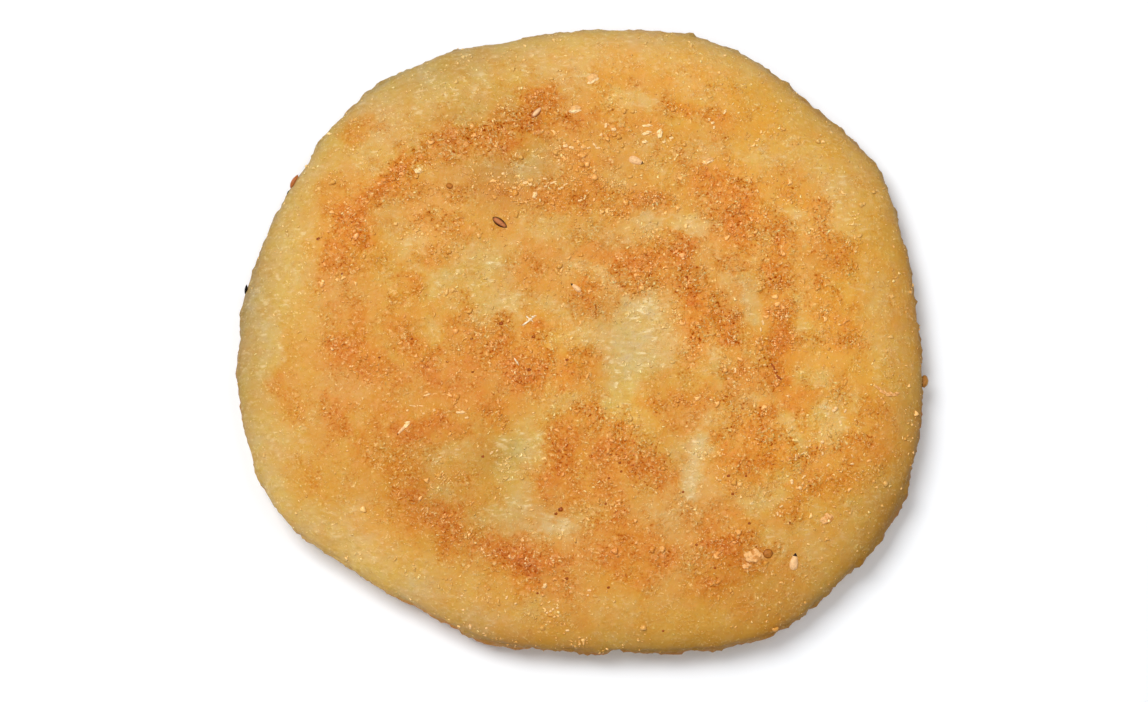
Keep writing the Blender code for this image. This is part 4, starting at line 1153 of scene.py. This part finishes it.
def make_bubbles(kind, dough, marks, shares):
    """Bubbles or crumbs of the fried surface, as one piece."""
    draw = np.random.default_rng(kind.seed)
    shell, faces = unit_ball(kind.cuts)
    spots = draw.choice(len(dough.points), kind.count, replace=False, p=shares)
    local = lumpy_balls(kind, shell, draw)
    up = dough.normals[spots]
    along = np.cross(draw.normal(size=(kind.count, 3)), up)
    along /= np.linalg.norm(along, axis=1, keepdims=True)
    turn = np.stack([along, np.cross(up, along), up], axis=1)
    places = dough.points[spots] + BUBBLE_LIFT * up
    points = (places[:, None, :] + np.einsum("nvi,nij->nvj", local, turn)) * MM

    mesh = bpy.data.meshes.new(kind.name)
    faces = faces + len(shell) * np.arange(kind.count)[:, None, None]
    mesh.from_pydata(points.reshape(-1, 3).tolist(), [], faces.reshape(-1, 3).tolist())
    store(mesh, "tone", np.repeat(marks["tone"][spots], len(shell)))
    store(mesh, "lift", np.repeat(draw.random(kind.count) ** 2.0, len(shell)))
    return dress(new_object(kind.name, mesh, bubble_material(kind.name, kind.light)))


# ---------------------------------------------------------------- grains

def frame_from(normal, heading):
    """A rotation with Z along the normal and X as near the heading as it can lie."""
    across = normal.cross(heading).normalized()
    along = across.cross(normal).normalized()
    return Matrix((along, across, normal)).transposed()


def seed_shape(direction):
    """A sesame seed about a unit long: a pointed tip at +X, and how near its margin."""
    along, side, up = direction
    taper = max(1.0 - along * along, 0.0) ** 0.25 * (1.0 - 0.18 * along)
    round_part = max(math.hypot(side, up), 1e-6)
    margin = max(abs(side / round_part) ** 1.2, abs(along) ** 2.5)
    return Vector((along, side * taper, up * taper)), margin


def tipped_shape(direction):
    """A pale seed, thinner towards a dark tip."""
    along, side, up = direction
    taper = 1.0 - 0.45 * along
    return Vector((along, side * taper, up * taper)), ease(0.55, 0.72, along)


def crumb_shape(direction):
    """A lumpy crumb about a unit across, marked where it stands out."""
    lump = noise.noise(direction * 1.3 + Vector((4.0, 1.0, 7.0)))
    lump += 0.5 * noise.noise(direction * 3.1)
    return direction * (1.0 + 0.45 * lump), ease(-0.3, 0.3, lump)


def flake_shape(direction):
    """A thin lumpy flake, marked along one long side."""
    lump = noise.noise(direction * 1.6 + Vector((2.0, 5.0, 3.0)))
    return direction * (1.0 + 0.5 * lump), ease(-0.1, 0.7, -direction.y + 0.5 * lump)


def blister_shape(direction):
    """A smooth dome."""
    return direction * (1.0 + 0.08 * noise.noise(direction * 2.0)), ease(0.9, 0.2, direction.z)


def add_grain(pile, marks, place, turn, grain, shape, cuts):
    """Add one grain to a mesh, and note its marks."""
    ball = bmesh.ops.create_icosphere(pile, subdivisions=cuts, radius=1.0)
    half = Vector((grain.length, grain.width, grain.thick)) * MM / 2.0
    for vertex in ball["verts"]:
        point, mark = shape(vertex.co.copy())
        vertex.co = place + turn @ (point * half)
        marks.append(mark)


def face_place(tree, middle, grain):
    """Where a grain of the face lies and how it is turned, found by looking down."""
    x, y = grain.x + FACE_SHIFT[0] - middle[0], grain.y + FACE_SHIFT[1] - middle[1]
    above = Vector((x, y, 3.0 * FACE_HEIGHT)) * MM
    place, normal, _, _ = tree.ray_cast(above, Vector((0.0, 0.0, -1.0)))
    turn = math.radians(grain.heading)
    heading = Vector((math.cos(turn), math.sin(turn), 0.0))
    return place - normal * FACE_SINK * grain.thick * MM, frame_from(normal, heading)


def rim_place(tree, middle, grain):
    """Where a grain of the rim lies and how it is turned, found by looking in."""
    turn, slope = math.radians(grain.angle), math.radians(grain.slope)
    outward = Vector((math.cos(turn), math.sin(turn), 0.0))
    start = outward * 2.0 * MEAN_RADIUS * MM + Vector((0.0, 0.0, grain.height * MM))
    place, _, _, _ = tree.ray_cast(start, -outward)
    sideways = Vector((-outward.y, outward.x, 0.0))
    heading = sideways * -math.cos(slope) + Vector((0.0, 0.0, math.sin(slope)))
    return place - outward * RIM_SINK * grain.thick * MM, frame_from(outward, heading)


def glint_rows():
    """The glints as rows of grains."""
    return [(x, y, length, width, GLINT_THICKNESS * width, heading)
            for x, y, length, width, heading in GLINTS]


def pinhole_rows():
    """The pinholes as rows of grains, round and shallow."""
    return [(x, y, width, width, PINHOLE_THICKNESS * width, 0) for x, y, width in PINHOLES]


# Pieces of grains: body and marked colours are as they show on screen.
Topping = namedtuple("Topping", "name rows shape body marked kind cuts", defaults=(Grain, FINE_CUTS))
TOPPINGS = (
    Topping("toasted_seed", TOASTED_SEEDS, seed_shape, (184, 112, 64), (50, 16, 4)),
    Topping("tan_seed", TAN_SEEDS, seed_shape, (236, 190, 140), (170, 98, 48)),
    Topping("rim_seed", RIM_TAN_SEEDS, seed_shape, (236, 190, 140), (170, 98, 48), RimGrain),
    Topping("pale_seeds", PALE_SEEDS, tipped_shape, (240, 190, 134), (36, 8, 2)),
    Topping("brown_nib", BROWN_NIBS, blister_shape, (178, 108, 36), (136, 70, 18)),
    Topping("blisters", BLISTERS, crumb_shape, (210, 140, 68), (232, 174, 108)),
    Topping("flakes", FLAKES, flake_shape, (228, 174, 108), (250, 216, 160)),
    Topping("crumbs", CRUMBS, crumb_shape, (232, 184, 118), (250, 216, 156)),
    # Painted highlights: white shreds for a glint of oil.
    Topping("painted_glint_shreds", PAINTED_GLINT_SHREDS, crumb_shape, (228, 184, 124), (250, 232, 200)),
    # Painted glints: lumps of crust coloured light.
    Topping("glints", glint_rows(), crumb_shape, (228, 168, 98), (247, 206, 146), cuts=COARSE_CUTS),
    Topping("pinholes", pinhole_rows(), crumb_shape, (178, 92, 18), (140, 62, 6), cuts=COARSE_CUTS),
    Topping("cracks", CRACKS, crumb_shape, (176, 88, 26), (146, 62, 14)),
    Topping("black_seeds", RIM_BLACK_SEEDS, seed_shape, (30, 18, 12), (16, 10, 8), RimGrain),
    Topping("rim_knob", RIM_KNOBS, blister_shape, (188, 136, 62), (160, 106, 44), RimGrain),
)


def make_grains(topping, tree, middle):
    """One piece of all the grains of a topping, on the dough's own surface."""
    find = rim_place if topping.kind is RimGrain else face_place
    pile, marks = bmesh.new(), []
    for row in topping.rows:
        grain = topping.kind(*row)
        place, turn = find(tree, middle, grain)
        add_grain(pile, marks, place, turn, grain, topping.shape, topping.cuts)
    mesh = bpy.data.meshes.new(topping.name)
    pile.to_mesh(mesh)
    pile.free()
    store(mesh, "mark", np.array(marks))
    material = grain_material(topping.name, srgb(*topping.body), srgb(*topping.marked))
    return dress(new_object(topping.name, mesh, material))


def make_toppings(dough, middle):
    """Seeds, flakes and crumbs, baked into the dough."""
    surface = bmesh.new()
    surface.from_mesh(dough.data)
    tree = BVHTree.FromBMesh(surface)
    surface.free()
    for topping in TOPPINGS:
        make_grains(topping, tree, middle)


# ---------------------------------------------------------------- stage

def make_floor():
    """A plain white table top."""
    mesh = bpy.data.meshes.new("floor")
    table = bmesh.new()
    bmesh.ops.create_grid(table, x_segments=1, y_segments=1, size=FLOOR_REACH * MM)
    table.to_mesh(mesh)
    table.free()
    material, _, shader = new_material("floor")
    set_inputs(shader, {"Base Color": FLOOR_COLOR, "Roughness": 0.8, "Specular IOR Level": 0.2})
    floor = new_object("floor", mesh, material)


def add_area_light(name, place, size, power):
    """A square soft box that faces the pancake."""
    data = bpy.data.lights.new(name, "AREA")
    data.size, data.energy = size * MM, power
    lamp = bpy.data.objects.new(name, data)
    bpy.context.scene.collection.objects.link(lamp)
    lamp.location = Vector(place) * MM
    lamp.rotation_euler = (-Vector(place)).to_track_quat("-Z", "Y").to_euler()


def make_lights():
    """A key from the upper left, and an even white surround."""
    for light in LIGHTS:
        add_area_light(*light)
    world = bpy.data.worlds.new("surround")
    bpy.context.scene.world = world
    world.use_nodes = True
    set_inputs(world.node_tree.nodes["Background"],
               {"Color": SURROUND_COLOR, "Strength": SURROUND_STRENGTH})
    bpy.context.scene.view_settings.view_transform = "Standard"


def make_camera():
    """The photograph's view: from nearly overhead, a little from the front."""
    data = bpy.data.cameras.new("camera")
    data.lens, data.sensor_width = CAMERA_LENS, CAMERA_SENSOR
    data.clip_start, data.clip_end = CLIP_NEAR * MM, CLIP_FAR * MM
    camera = bpy.data.objects.new("camera", data)
    bpy.context.scene.collection.objects.link(camera)
    rise = math.radians(CAMERA_ELEVATION)
    back = Vector((0.0, -math.cos(rise), math.sin(rise)))
    camera.location = (Vector(CAMERA_TARGET) + back * CAMERA_DISTANCE) * MM
    camera.rotation_euler = (-back).to_track_quat("-Z", "Y").to_euler()
    bpy.context.scene.camera = camera


def main():
    """Make the pancake and its stage."""
    make_camera()
    make_lights()
    make_floor()
    middle = solid_middle()
    ball = cube_sphere(DOUGH_GRID)
    dough = shape_dough(directions_of(ball), DOUGH_SHARES)
    marks = fry(dough)
    dough = roughen(dough, marks, middle)
    make_toppings(make_dough(ball, dough, marks), middle)
    ball.free()
    shares = bubble_shares(dough, marks, middle)
    for kind in SCATTERS:
        make_bubbles(kind, dough, marks, shares)


main()
